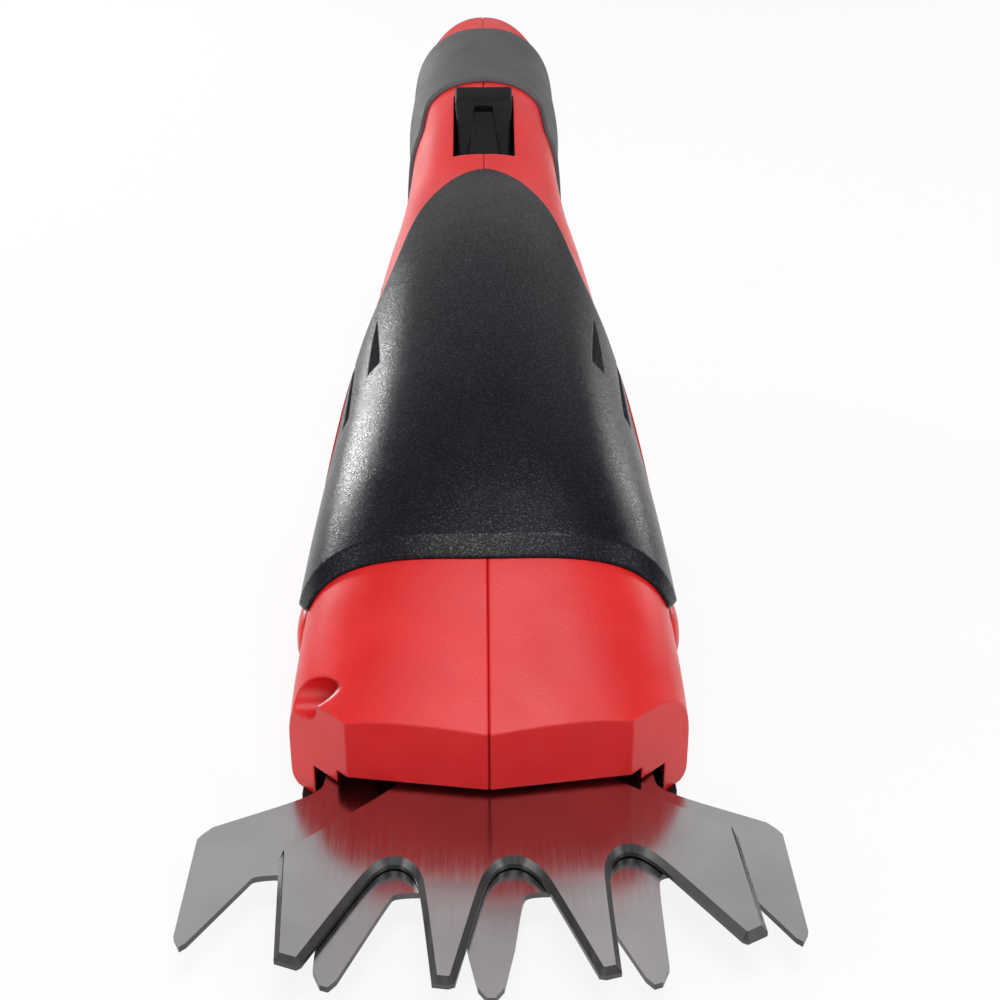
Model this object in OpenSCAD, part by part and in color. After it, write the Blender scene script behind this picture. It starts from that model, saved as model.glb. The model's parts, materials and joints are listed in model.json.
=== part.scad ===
// Cordless grass shears: a two-part housing with a top cover, a sole and a soft grip carries a
// motor and spur gears, whose crank pin swings a toothed blade over a fixed one.
// Lengths are in millimetres and angles in degrees. The blades point to -Y, up is +Z, and the
// shears stand on their sole at Z = 0.

/* [Overall] */
// Length of the housing, from the nose to the end of the handle
body_length = 303; // [295:1:315]
// Width of the head at its widest
head_width = 79.6; // [78:0.2:86]
// Height of the handle's top above the ground
body_height = 102; // [100:1:108]
// How far the fixed blade reaches ahead of the nose
blade_reach = 51; // [48:1:56]

/* [Housing] */
// Wall thickness of the housing halves
housing_wall = 2.4; // [2:0.1:2.8]
// Gap on the parting line between the two halves
parting_gap = 0.1; // [0.06:0.02:0.2]
// Height of the nose's lower edge above the ground
mouth_height = 11; // [10.8:0.1:12]
// Width of the mouth between the feet of the nose
mouth_width = 69.2; // [68:0.2:72]
// How far the front face falls back between the middle and the corner facets
nose_rake = 4.4; // [3:0.1:6]
// Distance of the corner facets from the middle of the nose
facet_start = 27.4; // [25:0.2:29]
// How far the corner facets fall back
facet_depth = 12.5; // [10:0.5:15]
// Thickness of the nose's front wall
nose_wall = 5; // [4:0.5:6]
// Thickness of the solid end of the handle
end_wall = 5; // [4:0.5:7]
// Radius of the bosses that take the housing screws
boss_radius = 5.4; // [5.2:0.1:6]
// Radius of the recess over each housing screw
recess_radius = 4; // [3.6:0.1:4.2]
// Depth of the recess over each housing screw
recess_depth = 9; // [7:0.5:10]

/* [Screws] */
// Radius of a screw's shank
screw_radius = 1.5; // [1.3:0.05:1.6]
// Radius of a screw's head
screw_head_radius = 3; // [2.8:0.1:3.2]
// Height of a screw's head
screw_head_height = 2.2; // [1.8:0.1:2.4]
// Length of thread that a screw has in its boss
screw_bite = 9; // [7:0.5:10]

/* [Cover] */
// Thickness of the top cover
cover_wall = 1.9; // [1.5:0.1:2.2]
// Gap between the cover and the housing under it
cover_gap = 0.12; // [0.1:0.02:0.3]
// Depth of the sloping lip at the cover's front edge
lip_depth = 3.6; // [3:0.1:5]
// Height of the wide end of each vent slit
vent_height = 2.8; // [2:0.1:3]
// Length of the longer vent slit
vent_length = 32; // [28:0.5:34]

/* [Sole] */
// Thickness of the sole plate
sole_thickness = 2.6; // [2.2:0.1:3]
// How far the sole's edge lies inside the housing's side
sole_inset = 0.5; // [0.3:0.1:1]
// Width of the step round the sole's underside
sole_step = 1.6; // [1:0.1:2.5]
// Height of that step
sole_step_height = 1.2; // [0.8:0.1:1.4]

/* [Grip] */
// Thickness of the soft grip
grip_thickness = 1.1; // [0.9:0.1:1.4]
// Gap between the grip and the housing under it
grip_gap = 0.08; // [0.06:0.02:0.2]

/* [Blades] */
// Width across the outer teeth of the fixed blade
fixed_blade_width = 108.6; // [104:0.2:114]
// Width across the outer teeth of the moving blade
moving_blade_width = 84; // [80:0.2:86]
// Thickness of each blade
blade_thickness = 2; // [1.6:0.1:2.1]
// Gap between the two blades
blade_gap = 0.2; // [0.15:0.05:0.3]
// Height of the fixed blade's top above the ground
cut_height = 8; // [7.6:0.1:8.2]
// Distance of the blade pivot behind the nose
pivot_setback = 39; // [37:0.5:42]
// How far the moving blade's middle teeth reach ahead of the pivot
moving_blade_reach = 87.6; // [84:0.2:90]
// Angle at which the moving blade rests
blade_rest_angle = 3.9; // [0:0.1:8]
// Swing of the moving blade to each side of the middle
blade_swing = 8.5; // [7:0.1:8.6]
// Radius of the pivot bolt's shoulder
pivot_radius = 5; // [4.5:0.1:5.4]
// Running clearance of shafts and pins
running_gap = 0.05; // [0.03:0.01:0.08]
// Seating clearance of pressed and screwed pieces
seat_gap = 0.03; // [0.02:0.01:0.05]

/* [Gears] */
// Size of one gear tooth: pitch diameter per tooth
gear_module = 1; // [0.98:0.01:1.02]
// Teeth of the crank gear
crank_teeth = 38; // [36:1:38]
// Teeth of the idler's small gear
idler_pinion_teeth = 12; // [12:1:13]
// Teeth of the idler's large gear
idler_teeth = 34; // [32:1:34]
// Teeth of the motor pinion
motor_teeth = 12; // [12:1:13]
// Pressure angle of the teeth
pressure_angle = 25; // [22:1:27]
// Play between meshing teeth
backlash = 0.12; // [0.08:0.02:0.2]
// Thickness of the crank gear
crank_gear_width = 5; // [4:0.5:5]
// Thickness of the idler's large gear
idler_gear_width = 3.5; // [3:0.5:4]
// Distance of the crank's axis behind the blade pivot
tail_arm = 28; // [27:0.5:30]
// Radius of the crank pin
crank_pin_radius = 2.6; // [2.2:0.1:2.8]
// Thickness of the gear base and of the gear plate
plate_thickness = 2; // [1.6:0.1:2.2]
// Radius of the crank shaft
crank_shaft_radius = 3; // [2.6:0.1:3.2]
// Radius of the idler's pin
idler_pin_radius = 1.5; // [1.3:0.1:1.8]

/* [Motor] */
// Radius of the motor
motor_radius = 14; // [13:0.5:14.5]
// Space left above the motor
motor_headroom = 3; // [2:0.5:4]
// Radius of the motor's shaft
motor_shaft_radius = 1.5; // [1.2:0.1:1.6]
// Thickness of the motor's end cap
motor_cap_height = 3; // [2.5:0.5:4]

/* [Lock slider] */
// Width of the slider's opening in the handle
lock_width = 17.2; // [16:0.2:18]
// Length of the slider's opening
lock_length = 34; // [32:0.5:35]
// Travel of the slider
lock_travel = 5; // [4:0.5:5.5]
// How far the slider's thumb pad stands above the handle
lock_rise = 2; // [1:0.1:2.5]

/* [Trigger] */
// Width of the trigger
trigger_width = 11; // [10:0.5:12]
// Length of the trigger behind its hinge pin
trigger_length = 37; // [35:0.5:37.5]
// How far the trigger hangs below its hinge pin
trigger_drop = 12.5; // [11:0.5:14]
// Angle through which the trigger is squeezed
trigger_travel = 8; // [6:0.5:8.5]
// Radius of the trigger's hinge pin
trigger_pin_radius = 1.5; // [1.3:0.1:1.8]

/* [Release buttons] */
// Length of a release button
button_length = 20; // [18:0.5:21]
// Height of a release button
button_height = 12; // [11:0.5:12.5]
// How far a release button stands out of the housing
button_rise = 2.2; // [1.5:0.1:2.6]
// Travel of a release button
button_travel = 2; // [1.5:0.1:2]

/* [Battery] */
// Radius of the battery cell
cell_radius = 9.15; // [9:0.05:9.3]
// Length of the battery cell
cell_length = 65; // [64:0.5:66]
// Radius of the charging jack's bore
jack_radius = 1.8; // [1.6:0.1:2]
// Depth of the charging jack's bore
jack_depth = 11; // [9:0.5:11.5]

/* [Hidden] */
// Overrun of every cut past the face that it opens
overrun = 1;
ring_steps = 18;
body_rows = 40;
round_fn = 64;

// Stations along the body. Columns: place as a share of the body's length; half width as a share
// of half the head's width; top, bottom and widest level as shares of the body's height; then the
// powers that square off the section above and below its widest level.
body_shares = [
    [0.000, 0.985, 0.231, 0.006, 0.093, 2.9, 9.0],
    [0.030, 0.997, 0.276, 0.000, 0.093, 2.8, 9.0],
    [0.079, 1.000, 0.350, 0.000, 0.103, 2.8, 9.0],
    [0.122, 0.985, 0.417, 0.000, 0.127, 2.7, 8.0],
    [0.195, 0.940, 0.520, 0.000, 0.196, 2.5, 7.0],
    [0.294, 0.866, 0.623, 0.000, 0.294, 2.3, 6.0],
    [0.393, 0.804, 0.701, 0.000, 0.392, 2.2, 4.5],
    [0.459, 0.729, 0.740, 0.020, 0.471, 2.2, 3.4],
    [0.525, 0.655, 0.765, 0.255, 0.549, 2.2, 2.5],
    [0.597, 0.577, 0.784, 0.412, 0.608, 2.3, 2.4],
    [0.657, 0.535, 0.833, 0.461, 0.647, 2.4, 2.4],
    [0.723, 0.521, 0.892, 0.508, 0.686, 2.4, 2.4],
    [0.789, 0.537, 0.927, 0.539, 0.716, 2.4, 2.4],
    [0.855, 0.525, 0.956, 0.559, 0.735, 2.4, 2.4],
    [0.921, 0.514, 0.990, 0.588, 0.755, 2.3, 2.3],
    [0.967, 0.430, 0.992, 0.622, 0.770, 2.2, 2.2],
    [0.990, 0.310, 0.950, 0.670, 0.785, 2.0, 2.0],
    [1.000, 0.190, 0.900, 0.720, 0.795, 2.0, 2.0]
];

// The cover's lower edge: place as a share of the body's length, and how far up the side the edge
// lies as a share of the quarter turn from the widest level to the top.
cover_edge_shares = [
    [0.139, 0.178], [0.152, 0.143], [0.195, 0.163], [0.257, 0.205], [0.281, 0.222], [0.337, 0.267],
    [0.376, 0.344], [0.409, 0.422], [0.432, 0.467], [0.472, 0.517], [0.498, 0.544], [0.528, 0.600],
    [0.553, 0.689], [0.574, 0.789], [0.587, 0.888], [0.593, 0.960]
];

// The cover's lip: place of its middle, how far it bows back at the sides, and the turns from the
// widest level to the top that it is drawn through, as shares
lip_share = 0.116;
lip_bow_share = 0.0149;
lip_turn_shares = [0.96, 0.88, 0.80, 0.72, 0.64, 0.56, 0.48, 0.40, 0.32, 0.24];
lip_bow_power_share = 1.4;

// The grip's front edge: turn round the handle as a share of a quarter turn, from below (-1) to
// the top (1), and place as a share of the body's length. The gap below leaves room for the trigger.
grip_front_shares = [
    [-1.00, 0.775], [-0.78, 0.775], [-0.66, 0.660], [-0.33, 0.644], [-0.09, 0.660], [0.06, 0.696],
    [0.28, 0.705], [0.40, 0.713], [0.44, 0.742], [0.50, 0.756], [0.67, 0.762], [1.00, 0.766]
];
grip_end_share = 0.905;

// Housing screws: place as a share of the body's length, level as a share of the body's height
screw_shares = [[0.0470, 0.2225], [0.175, 0.372], [0.578, 0.600]];

// Levels of the housing screws ahead of the motor and behind it, as shares of the body's height
motor_side_shares = [0.450, 0.560];

// Vent slits: place of the wide end and level of its lower corner, as shares of length and height,
// and the slit's length as a share of the longer one
vent_shares = [[0.310, 0.560, 0.680], [0.277, 0.468, 1.000]];
vent_climb_share = 0.19;

// Half outline of the fixed blade, from the middle tooth's tip outwards and back: shares of half
// the blade's width, and shares of the blade's reach behind the tip
fixed_blade_shares = [
    [0.012, 0.000], [0.040, 0.045], [0.076, 0.240], [0.102, 0.450], [0.120, 0.500], [0.310, 0.500],
    [0.330, 0.465], [0.471, 0.085], [0.495, 0.053], [0.521, 0.063], [0.547, 0.130], [0.552, 0.540],
    [0.568, 0.600], [0.780, 0.600], [0.804, 0.553], [0.957, 0.262], [0.976, 0.243], [1.000, 0.294],
    [1.000, 0.800], [0.985, 0.830], [0.955, 0.870], [0.600, 1.065]
];

// Half outline of its tang inside the housing: shares of half the mouth's width, and shares of the
// pivot's distance behind the nose
fixed_tang_shares = [
    [0.923, 0.235], [0.750, 0.392], [0.750, 0.942], [0.518, 1.072], [0.518, 1.399], [0.000, 1.399]
];

// Half outline of the moving blade's teeth, from the middle slot outwards and back: shares of half
// the blade's width, and shares of the reach of its middle teeth ahead of the pivot
moving_blade_shares = [
    [0.000, 0.664], [0.050, 0.672], [0.090, 0.696], [0.126, 0.728], [0.283, 0.996], [0.310, 1.000],
    [0.374, 0.993], [0.402, 0.722], [0.425, 0.680], [0.470, 0.652], [0.520, 0.647], [0.570, 0.660],
    [0.629, 0.697], [0.885, 0.922], [0.905, 0.928], [0.995, 0.907], [1.000, 0.620], [0.985, 0.600],
    [0.476, 0.400], [0.333, 0.290], [0.286, 0.160]
];

// Places of small pieces inside, as shares of the body's length
button_share = 0.1617;
lock_share = 0.686;
trigger_share = 0.624;
cell_share = 0.730;
sole_front_share = 0.018;
sole_corner_share = 0.047;
sole_end_share = 0.447;

// Blades and pivot
nose_y = blade_reach;
overall_length = blade_reach + body_length;
pivot_y = nose_y + pivot_setback;
fixed_blade_z = cut_height - blade_thickness;
moving_blade_z = cut_height + blade_gap;
moving_blade_top = moving_blade_z + blade_thickness;
mouth_step = 2.1;
mouth_side_height = cut_height + 2 * blade_gap;
crank_throw = tail_arm * tan(blade_swing);
crank_phase = acos(-tail_arm * tan(blade_rest_angle) / crank_throw);
pin_play = 0.4;
window_half_width = crank_pin_radius + 2 * crank_throw + pin_play;
window_half_length = crank_pin_radius + crank_throw + 2 * pin_play;
tail_rim = 3.4;
pivot_eye_radius = 11.5;
pivot_head_radius = 8;
pivot_head_height = 2.6;
pivot_shank_radius = 3;
nut_radius = 5.6;
nut_height = 2.2;
rivet_radius = 2;
rivet_shares = [[0.30, 0.66], [0.25, 1.12]];
carrier_thickness = fixed_blade_z - sole_thickness;

// Gear train
base_play = 1.2;
base_z = moving_blade_top + base_play;
base_top = base_z + plate_thickness;
gear_play = 0.5;
crank_gear_z = base_top + gear_play;
idler_gear_z = crank_gear_z + crank_gear_width + gear_play;
plate_z = idler_gear_z + idler_gear_width + 2 * gear_play;
plate_top = plate_z + plate_thickness;
crank_y = pivot_y + tail_arm;
idler_y = crank_y + gear_module * (crank_teeth + idler_pinion_teeth) / 2;
motor_y = idler_y + gear_module * (idler_teeth + motor_teeth) / 2;
hub_radius = crank_throw + crank_pin_radius + tail_rim / 5;
bush_wall = 1.8;
bush_radius = crank_shaft_radius + bush_wall;
bush_flange = 1.2;
post_radius = 3.2;
post_play = 1.8;
front_post_x = window_half_width + tail_rim + crank_throw + post_radius + post_play;
front_post_y = crank_y - 2 * post_radius;
rear_post_x = motor_radius + 1.2 * post_radius;
rear_post_y = motor_y;
plate_front = crank_y - motor_radius;
plate_end = motor_y + 3.6 * post_radius;

// Motor
motor_wall = 1.5;
boss_play = 8.6;
seat_limit = 23.5;
rotor_radius = 0.66 * motor_radius;
magnet_inner = 0.72 * motor_radius;
motor_front_ceiling = top_z(share_at(motor_y - motor_radius)) - housing_wall;
motor_length = motor_front_ceiling - motor_headroom - motor_cap_height - plate_top;
motor_boss_radius = 4;
motor_screw_x = 0.78 * motor_radius;

// Lock slider, in a frame that lies on the handle's top
lock_probe_share = 0.05;
lock_slope = atan2(top_z(lock_share + lock_probe_share) - top_z(lock_share - lock_probe_share),
    2 * lock_probe_share * body_length);
lock_play = 0.4;
tray_wall = 1.5;
tray_depth = 7.6;
tray_lip = 5.2;
tongue_length = 9;
stem_width = 4.4;
stem_length = 8;
stem_drop = 4;

// Trigger, in a frame that lies along the handle's underside
trigger_probe_share = 0.12;
trigger_slope = atan2(bottom_z(trigger_share + trigger_probe_share) - bottom_z(trigger_share),
    trigger_probe_share * body_length);
trigger_inset = 4.5;
trigger_play = 0.5;
trigger_eye_radius = 3.4;
trigger_back = 2.4;
switch_gap = 0.3;
switch_length = 20;
switch_width = 6.4;
switch_height = 10;
plunger_radius = 1.2;
plunger_height = 1.5;
switch_start = 8;
switch_post_radius = 2.4;
switch_post_shares = [0.2, 0.8];

// Release buttons
button_spring_length = 4 * button_travel;
button_z = 0.182 * body_height;
button_flange = 1.5;
button_rim = 1.8;
button_play = 0.3;
button_inner_x = side_x(button_share, button_z) - housing_wall - 2 * button_rim;
button_seat_x = button_inner_x - button_spring_length;
seat_wall = 2;

// Battery, in a frame along the cell
cell_y = at(cell_share);
cell_end_share = cell_share + cell_length / body_length;
cell_z = (top_z(cell_share) + bottom_z(cell_share)) / 2;
cell_end_z = (top_z(cell_end_share) + bottom_z(cell_end_share)) / 2;
cell_tilt = atan2(cell_end_z - cell_z, cell_length);
cradle_wall = 1.6;
cradle_gap = 0.1;
// The cradle starts behind the squeezed trigger
cradle_start_share = 0.12;
tab_thickness = 0.6;
board_thickness = 1.6;
board_size = 20;
jack_body_radius = 4;
foot_width = 9;
board_y = cell_length + 2 * tab_thickness + cradle_wall;
jack_inset = 1;
jack_end = (overall_length - cell_y) / cos(cell_tilt) - jack_inset;

// Places along the body
function at(share) = nose_y + share * body_length;
function share_at(y) = (y - nose_y) / body_length;

// A column of the body's stations, drawn as a smooth curve through them
function knot(i) = body_shares[i][0];
function slope(i, c) =
    let(a = max(i - 1, 0), b = min(i + 1, len(body_shares) - 1))
    (body_shares[b][c] - body_shares[a][c]) / (knot(b) - knot(a));
function span_of(share) = max([0, for (i = [0 : len(body_shares) - 2]) if (knot(i) <= share) i]);
function station(share, c) =
    let(i = span_of(share), gap = knot(i + 1) - knot(i), u = (share - knot(i)) / gap)
    (2 * u ^ 3 - 3 * u ^ 2 + 1) * body_shares[i][c] + (u ^ 3 - 2 * u ^ 2 + u) * gap * slope(i, c)
    + (3 * u ^ 2 - 2 * u ^ 3) * body_shares[i + 1][c] + (u ^ 3 - u ^ 2) * gap * slope(i + 1, c);

function half_width(share) = head_width / 2 * station(share, 1);
function top_z(share) = body_height * station(share, 2);
function bottom_z(share) = body_height * station(share, 3);
function waist_z(share) = body_height * station(share, 4);

// A point of the body's skin: turn is 0 on the +X side, 90 on top and -90 below, and grow is how
// far the point lies outside the red surface
function signed_power(v, p) = sign(v) * pow(abs(v), p);
function skin(share, turn, grow) =
    let(upper = sin(turn) >= 0, power = 2 / station(share, upper ? 5 : 6))
    let(reach = grow + (upper ? top_z(share) - waist_z(share) : waist_z(share) - bottom_z(share)))
    [
        (half_width(share) + grow) * signed_power(cos(turn), power),
        at(share),
        waist_z(share) + reach * signed_power(sin(turn), power)
    ];

// Half width of the body at a level
function side_x(share, z) =
    let(upper = z >= waist_z(share), n = station(share, upper ? 5 : 6))
    let(reach = upper ? top_z(share) - waist_z(share) : waist_z(share) - bottom_z(share))
    half_width(share) * pow(max(0, 1 - pow(abs(z - waist_z(share)) / reach, n)), 1 / n);

// Skin point of one half, kept clear of the parting line
function half_skin(share, turn, grow) =
    let(p = skin(share, turn, grow)) [max(p[0], parting_gap / 2), p[1], p[2]];

// Triangles round a stack of rings that all have n points
function side_faces(rows, n) = [
    for (r = [0 : rows - 2], i = [0 : n - 1])
        let(a = r * n + i, b = r * n + (i + 1) % n)
        each [[a, b, a + n], [b, b + n, a + n]]
];

// Solid through a stack of flat rings
module solid_loft(rings) {
    n = len(rings[0]);
    last = (len(rings) - 1) * n;
    polyhedron(
        points = [for (ring = rings) each ring],
        faces = concat(
            [[for (i = [n - 1 : -1 : 0]) i]],
            [[for (i = [0 : n - 1]) last + i]],
            side_faces(len(rings), n)));
}

// Shell through a stack of rings, each an outer strip followed by the inner strip in reverse
module shell_loft(rings) {
    n = len(rings[0]);
    last = (len(rings) - 1) * n;
    polyhedron(
        points = [for (ring = rings) each ring],
        faces = concat(
            [for (i = [0 : n / 2 - 2]) each [[i + 1, i, n - 1 - i], [i + 1, n - 1 - i, n - 2 - i]]],
            [for (i = [0 : n / 2 - 2])
                each [[last + i, last + i + 1, last + n - 1 - i],
                    [last + i + 1, last + n - 2 - i, last + n - 1 - i]]],
            side_faces(len(rings), n)));
}

function shares_between(from, to, rows) = [for (r = [0 : rows]) from + (to - from) * r / rows];
function half_turns() = [for (i = [0 : ring_steps]) -90 + 180 * i / ring_steps];
function reversed(list) = [for (i = [len(list) - 1 : -1 : 0]) list[i]];

// Moves a piece from the frame at the fixed blade's tip to the part's own frame
module from_tip() {
    translate([0, -overall_length / 2, 0]) children();
}

module both_sides() {
    children();
    mirror([1, 0, 0]) children();
}

// Half of the body, on the +X side: a shell, or a solid between two shares of its length
module half_shell(from, to) {
    shell_loft([
        for (share = shares_between(from, to, body_rows))
            concat(
                [for (turn = half_turns()) half_skin(share, turn, 0)],
                [for (turn = reversed(half_turns())) half_skin(share, turn, -housing_wall)])
    ]);
}

module half_solid(from, to, grow, rows) {
    solid_loft([
        for (share = shares_between(from, to, rows))
            [for (turn = half_turns()) half_skin(share, turn, grow)]
    ]);
}

// Cylinders along X, Y and Z that start at the origin
module rod_x(radius, length) {
    rotate([0, 90, 0]) cylinder(r = radius, h = length, $fn = round_fn);
}

module rod_y(radius, length) {
    rotate([-90, 0, 0]) cylinder(r = radius, h = length, $fn = round_fn);
}

module rod_z(radius, length) {
    cylinder(r = radius, h = length, $fn = round_fn);
}

module screw(length) {
    rod_z(screw_radius, length);
    translate([0, 0, length]) rod_z(screw_head_radius, screw_head_height);
}

// Coil spring along +Z, one unbroken wire of six sides
module coil(radius, wire, turns, length) {
    rings_per_turn = 8;
    sides = 6;
    steps = turns * rings_per_turn;
    rings = [
        for (s = [0 : steps])
            let(a = 360 * s / rings_per_turn, z = wire + (length - 2 * wire) * s / steps)
            [for (k = [0 : sides - 1])
                let(b = 360 * k / sides, r = radius - wire + wire * cos(b))
                [r * cos(a), r * sin(a), z + wire * sin(b)]]
    ];
    mirror([0, 1, 0]) solid_loft(rings);
}

// Housing

function screw_points() = concat(
    [for (s = screw_shares) [at(s[0]), s[1] * body_height]],
    [for (i = [0, 1])
        let(reach = motor_radius + boss_radius + boss_play)
        [motor_y + (2 * i - 1) * reach, motor_side_shares[i] * body_height]]);

module screw_places() {
    for (p = screw_points()) translate([0, p[0], p[1]]) children();
}

function seat_x(p) = min(seat_limit, side_x(share_at(p[0]), p[1]) - recess_depth);

module screw_recesses() {
    for (p = screw_points()) translate([seat_x(p), p[0], p[1]]) rod_x(recess_radius, head_width);
}

module sole_screw_places() {
    for (p = sole_screw_points()) translate([p[0], p[1], 0]) children();
}

sole_boss_radius = 3.4;
sole_boss_height = 18;
sole_screw_share = 0.069;
sole_rear_screw_share = 0.432;
sole_rear_screw_x = 13;
function sole_screw_points() = [
    [head_width / 2 - housing_wall - 2 * sole_boss_radius + sole_inset, at(sole_screw_share)],
    [sole_rear_screw_x, at(sole_rear_screw_share)]
];

// Plan of the nose's front and corner facets, seen from above on the +X side
module nose_cut() {
    far = head_width / 2 + overrun;
    corner_slope = facet_depth / (head_width / 2 - facet_start);
    linear_extrude(body_height)
        polygon([
            [-overrun, 0],
            [-overrun, nose_y],
            [0, nose_y],
            [facet_start, nose_y + nose_rake],
            [far, nose_y + nose_rake + corner_slope * (far - facet_start)],
            [far, 0]
        ]);
}

// Frame on top of the handle at the slider's opening: +Y along the handle, +Z out of it
module lock_frame() {
    translate([0, at(lock_share), top_z(lock_share)]) rotate([lock_slope, 0, 0]) children();
}

// Frame at the trigger's hinge pin: +Y along the handle's underside
module trigger_frame() {
    translate([0, at(trigger_share), bottom_z(trigger_share) + trigger_inset])
        rotate([trigger_slope, 0, 0]) children();
}

// Frame at the front end of the battery cell: +Y along the cell
module cell_frame() {
    translate([0, cell_y, cell_z]) rotate([cell_tilt, 0, 0]) children();
}

module vents() {
    for (s = vent_shares) {
        reach = vent_length * s[2];
        climb = reach * vent_climb_share;
        translate([0, at(s[0]), s[1] * body_height])
            rotate([90, 0, 90])
                linear_extrude(head_width)
                    polygon([
                        [0, 0],
                        [0, vent_height],
                        [reach / 2, vent_height + climb / 2],
                        [reach, vent_height / 2 + climb],
                        [reach / 2, climb / 2]
                    ]);
    }
}

nose_solid_share = 0.078;
rear_solid_share = 1 - end_wall / body_length;

module nose_pocket() {
    front = nose_y + nose_rake + nose_wall;
    back = at(nose_solid_share) + overrun;
    rotate([90, 0, 90])
        linear_extrude(facet_start - nose_wall)
            polygon([
                [front, 0],
                [back, 0],
                [back, top_z(share_at(back)) - 2 * housing_wall],
                [front, top_z(share_at(front)) - 2 * housing_wall]
            ]);
}

// What both halves share, drawn on the +X side
module housing_half() {
    difference() {
        union() {
            half_shell(nose_solid_share, rear_solid_share);
            difference() {
                half_solid(0, nose_solid_share, 0, 6);
                nose_pocket();
            }
            half_solid(rear_solid_share, 1, 0, 2);
            intersection() {
                half_solid(0, 1, -housing_wall / 2, body_rows / 2);
                union() {
                    screw_places() rod_x(boss_radius, head_width / 2);
                    sole_screw_places() translate([0, 0, sole_thickness])
                        rod_z(sole_boss_radius, sole_boss_height);
                    switch_post_places() rod_x(switch_post_radius, head_width / 2);
                }
            }
        }
        nose_cut();
        // Open underside of the head, closed by the sole
        translate([-overrun, 0, -overrun])
            cube([head_width, at(nose_solid_share) + overrun, sole_step_height + overrun]);
        translate([-overrun, at(nose_solid_share), -overrun])
            cube([head_width, at(sole_end_share) - at(nose_solid_share), sole_thickness + overrun]);
        linear_extrude(2 * sole_thickness) polygon(sole_outline(sole_inset + housing_wall));
        // Mouth that the blades come out of, lower beside the moving blade's sweep
        translate([-overrun, 0, 0])
            cube([facet_start + mouth_step + overrun, at(nose_solid_share) + overrun, mouth_height]);
        translate([-overrun, 0, 0])
            cube([mouth_width / 2 + overrun, at(nose_solid_share) + overrun, mouth_side_height]);
        lock_frame()
            translate([-overrun, -lock_length / 2, -tray_depth - tray_wall])
                cube([lock_width / 2 + overrun, lock_length, 2 * tray_depth]);
        trigger_frame()
            translate([-overrun, -trigger_eye_radius - trigger_play, -2 * trigger_drop])
                cube([trigger_width / 2 + trigger_play + overrun,
                    trigger_length + trigger_eye_radius + 3 * trigger_play, 2 * trigger_drop]);
        translate([0, at(button_share) - button_length / 2 - button_play,
                button_z - button_height / 2 - button_play])
            cube([head_width, button_length + 2 * button_play, button_height + 2 * button_play]);
        vents();
        cell_frame() rod_y(jack_body_radius + seat_gap, jack_end + 2 * end_wall);
        sole_screw_places() rod_z(screw_radius + seat_gap, sole_thickness + screw_bite);
    }
}

module housing_left() {
    color("crimson") from_tip() difference() {
        housing_half();
        screw_places() translate([-overrun, 0, 0]) rod_x(screw_radius + seat_gap, screw_bite + overrun);
        trigger_frame() translate([-overrun, 0, 0])
            rod_x(trigger_pin_radius + seat_gap, trigger_width + overrun);
    }
}

module housing_right() {
    color("crimson") from_tip() mirror([1, 0, 0]) {
        difference() {
            housing_half();
            screw_places() rod_x(screw_radius + seat_gap, head_width);
            screw_recesses();
            trigger_frame() translate([-overrun, 0, 0])
                rod_x(trigger_pin_radius + seat_gap, trigger_width + overrun);
        }
    }
}

module housing_screws() {
    color("silver") from_tip()
        for (p = screw_points())
            translate([screw_bite, p[0], p[1]]) rotate([0, -90, 0]) screw(screw_bite + seat_x(p));
}

// Cover over the head, proud of the housing
function lip_at(turn) = lip_share + lip_bow_share * pow(abs(cos(turn)), lip_bow_power_share);

function cover_rise(share, turn) =
    cover_wall * min(1, 1 / 3 + 2 / 3 * (share - lip_at(turn)) * body_length / lip_depth);

module top_cover() {
    steps = 2 * ring_steps;
    lip = [for (f = lip_turn_shares) [lip_at(90 * f), f]];
    color([0.12, 0.12, 0.13]) from_tip() difference() {
        shell_loft([
            for (e = concat(lip, cover_edge_shares))
                let(turns = [for (i = [0 : steps]) 90 * e[1] + (180 - 180 * e[1]) * i / steps])
                concat(
                    [for (turn = turns) skin(e[0], turn, cover_gap + cover_rise(e[0], turn))],
                    [for (turn = reversed(turns)) skin(e[0], turn, cover_gap)])
        ]);
        both_sides() vents();
    }
}

// Sole plate under the head, with posts for the gear base and seats for the button springs
function sole_outline(inset) =
    let(shares = shares_between(sole_corner_share, sole_end_share, 12))
    let(side = [for (share = shares) [side_x(share, sole_thickness) - inset, at(share) - inset]])
    let(front = [[facet_start, at(sole_front_share) + inset]])
    let(half = concat(front, side))
    concat(half, [for (p = reversed(half)) [-p[0], p[1]]]);

module gear_posts() {
    for (p = [[front_post_x, front_post_y], [rear_post_x, rear_post_y]])
        both_sides() translate([p[0], p[1], 0]) children();
}

module sole_plate() {
    color([0.1, 0.1, 0.11]) from_tip() difference() {
        union() {
            translate([0, 0, sole_step_height])
                linear_extrude(sole_thickness - sole_step_height) polygon(sole_outline(sole_inset));
            linear_extrude(sole_step_height) polygon(sole_outline(sole_inset + sole_step));
            gear_posts() translate([0, 0, sole_step_height]) rod_z(post_radius, base_z - sole_step_height);
            both_sides()
                translate([button_seat_x - seat_wall, at(button_share) - seat_wall * 2, sole_step_height])
                    cube([seat_wall, 4 * seat_wall, button_z + 2 * seat_wall - sole_step_height]);
        }
        both_sides() sole_screw_places() {
            translate([0, 0, -overrun]) rod_z(screw_radius + seat_gap, sole_thickness + 2 * overrun);
            translate([0, 0, -overrun]) rod_z(screw_head_radius + seat_gap, overrun + sole_step_height);
        }
        gear_posts() translate([0, 0, sole_thickness])
            rod_z(screw_radius + seat_gap, base_z);
        // Room for the housing's two feet beside the mouth
        both_sides() translate([mouth_width / 2 - seat_gap, 0, sole_step_height])
            cube([head_width, at(nose_solid_share) + seat_gap, sole_thickness]);
    }
}

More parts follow.
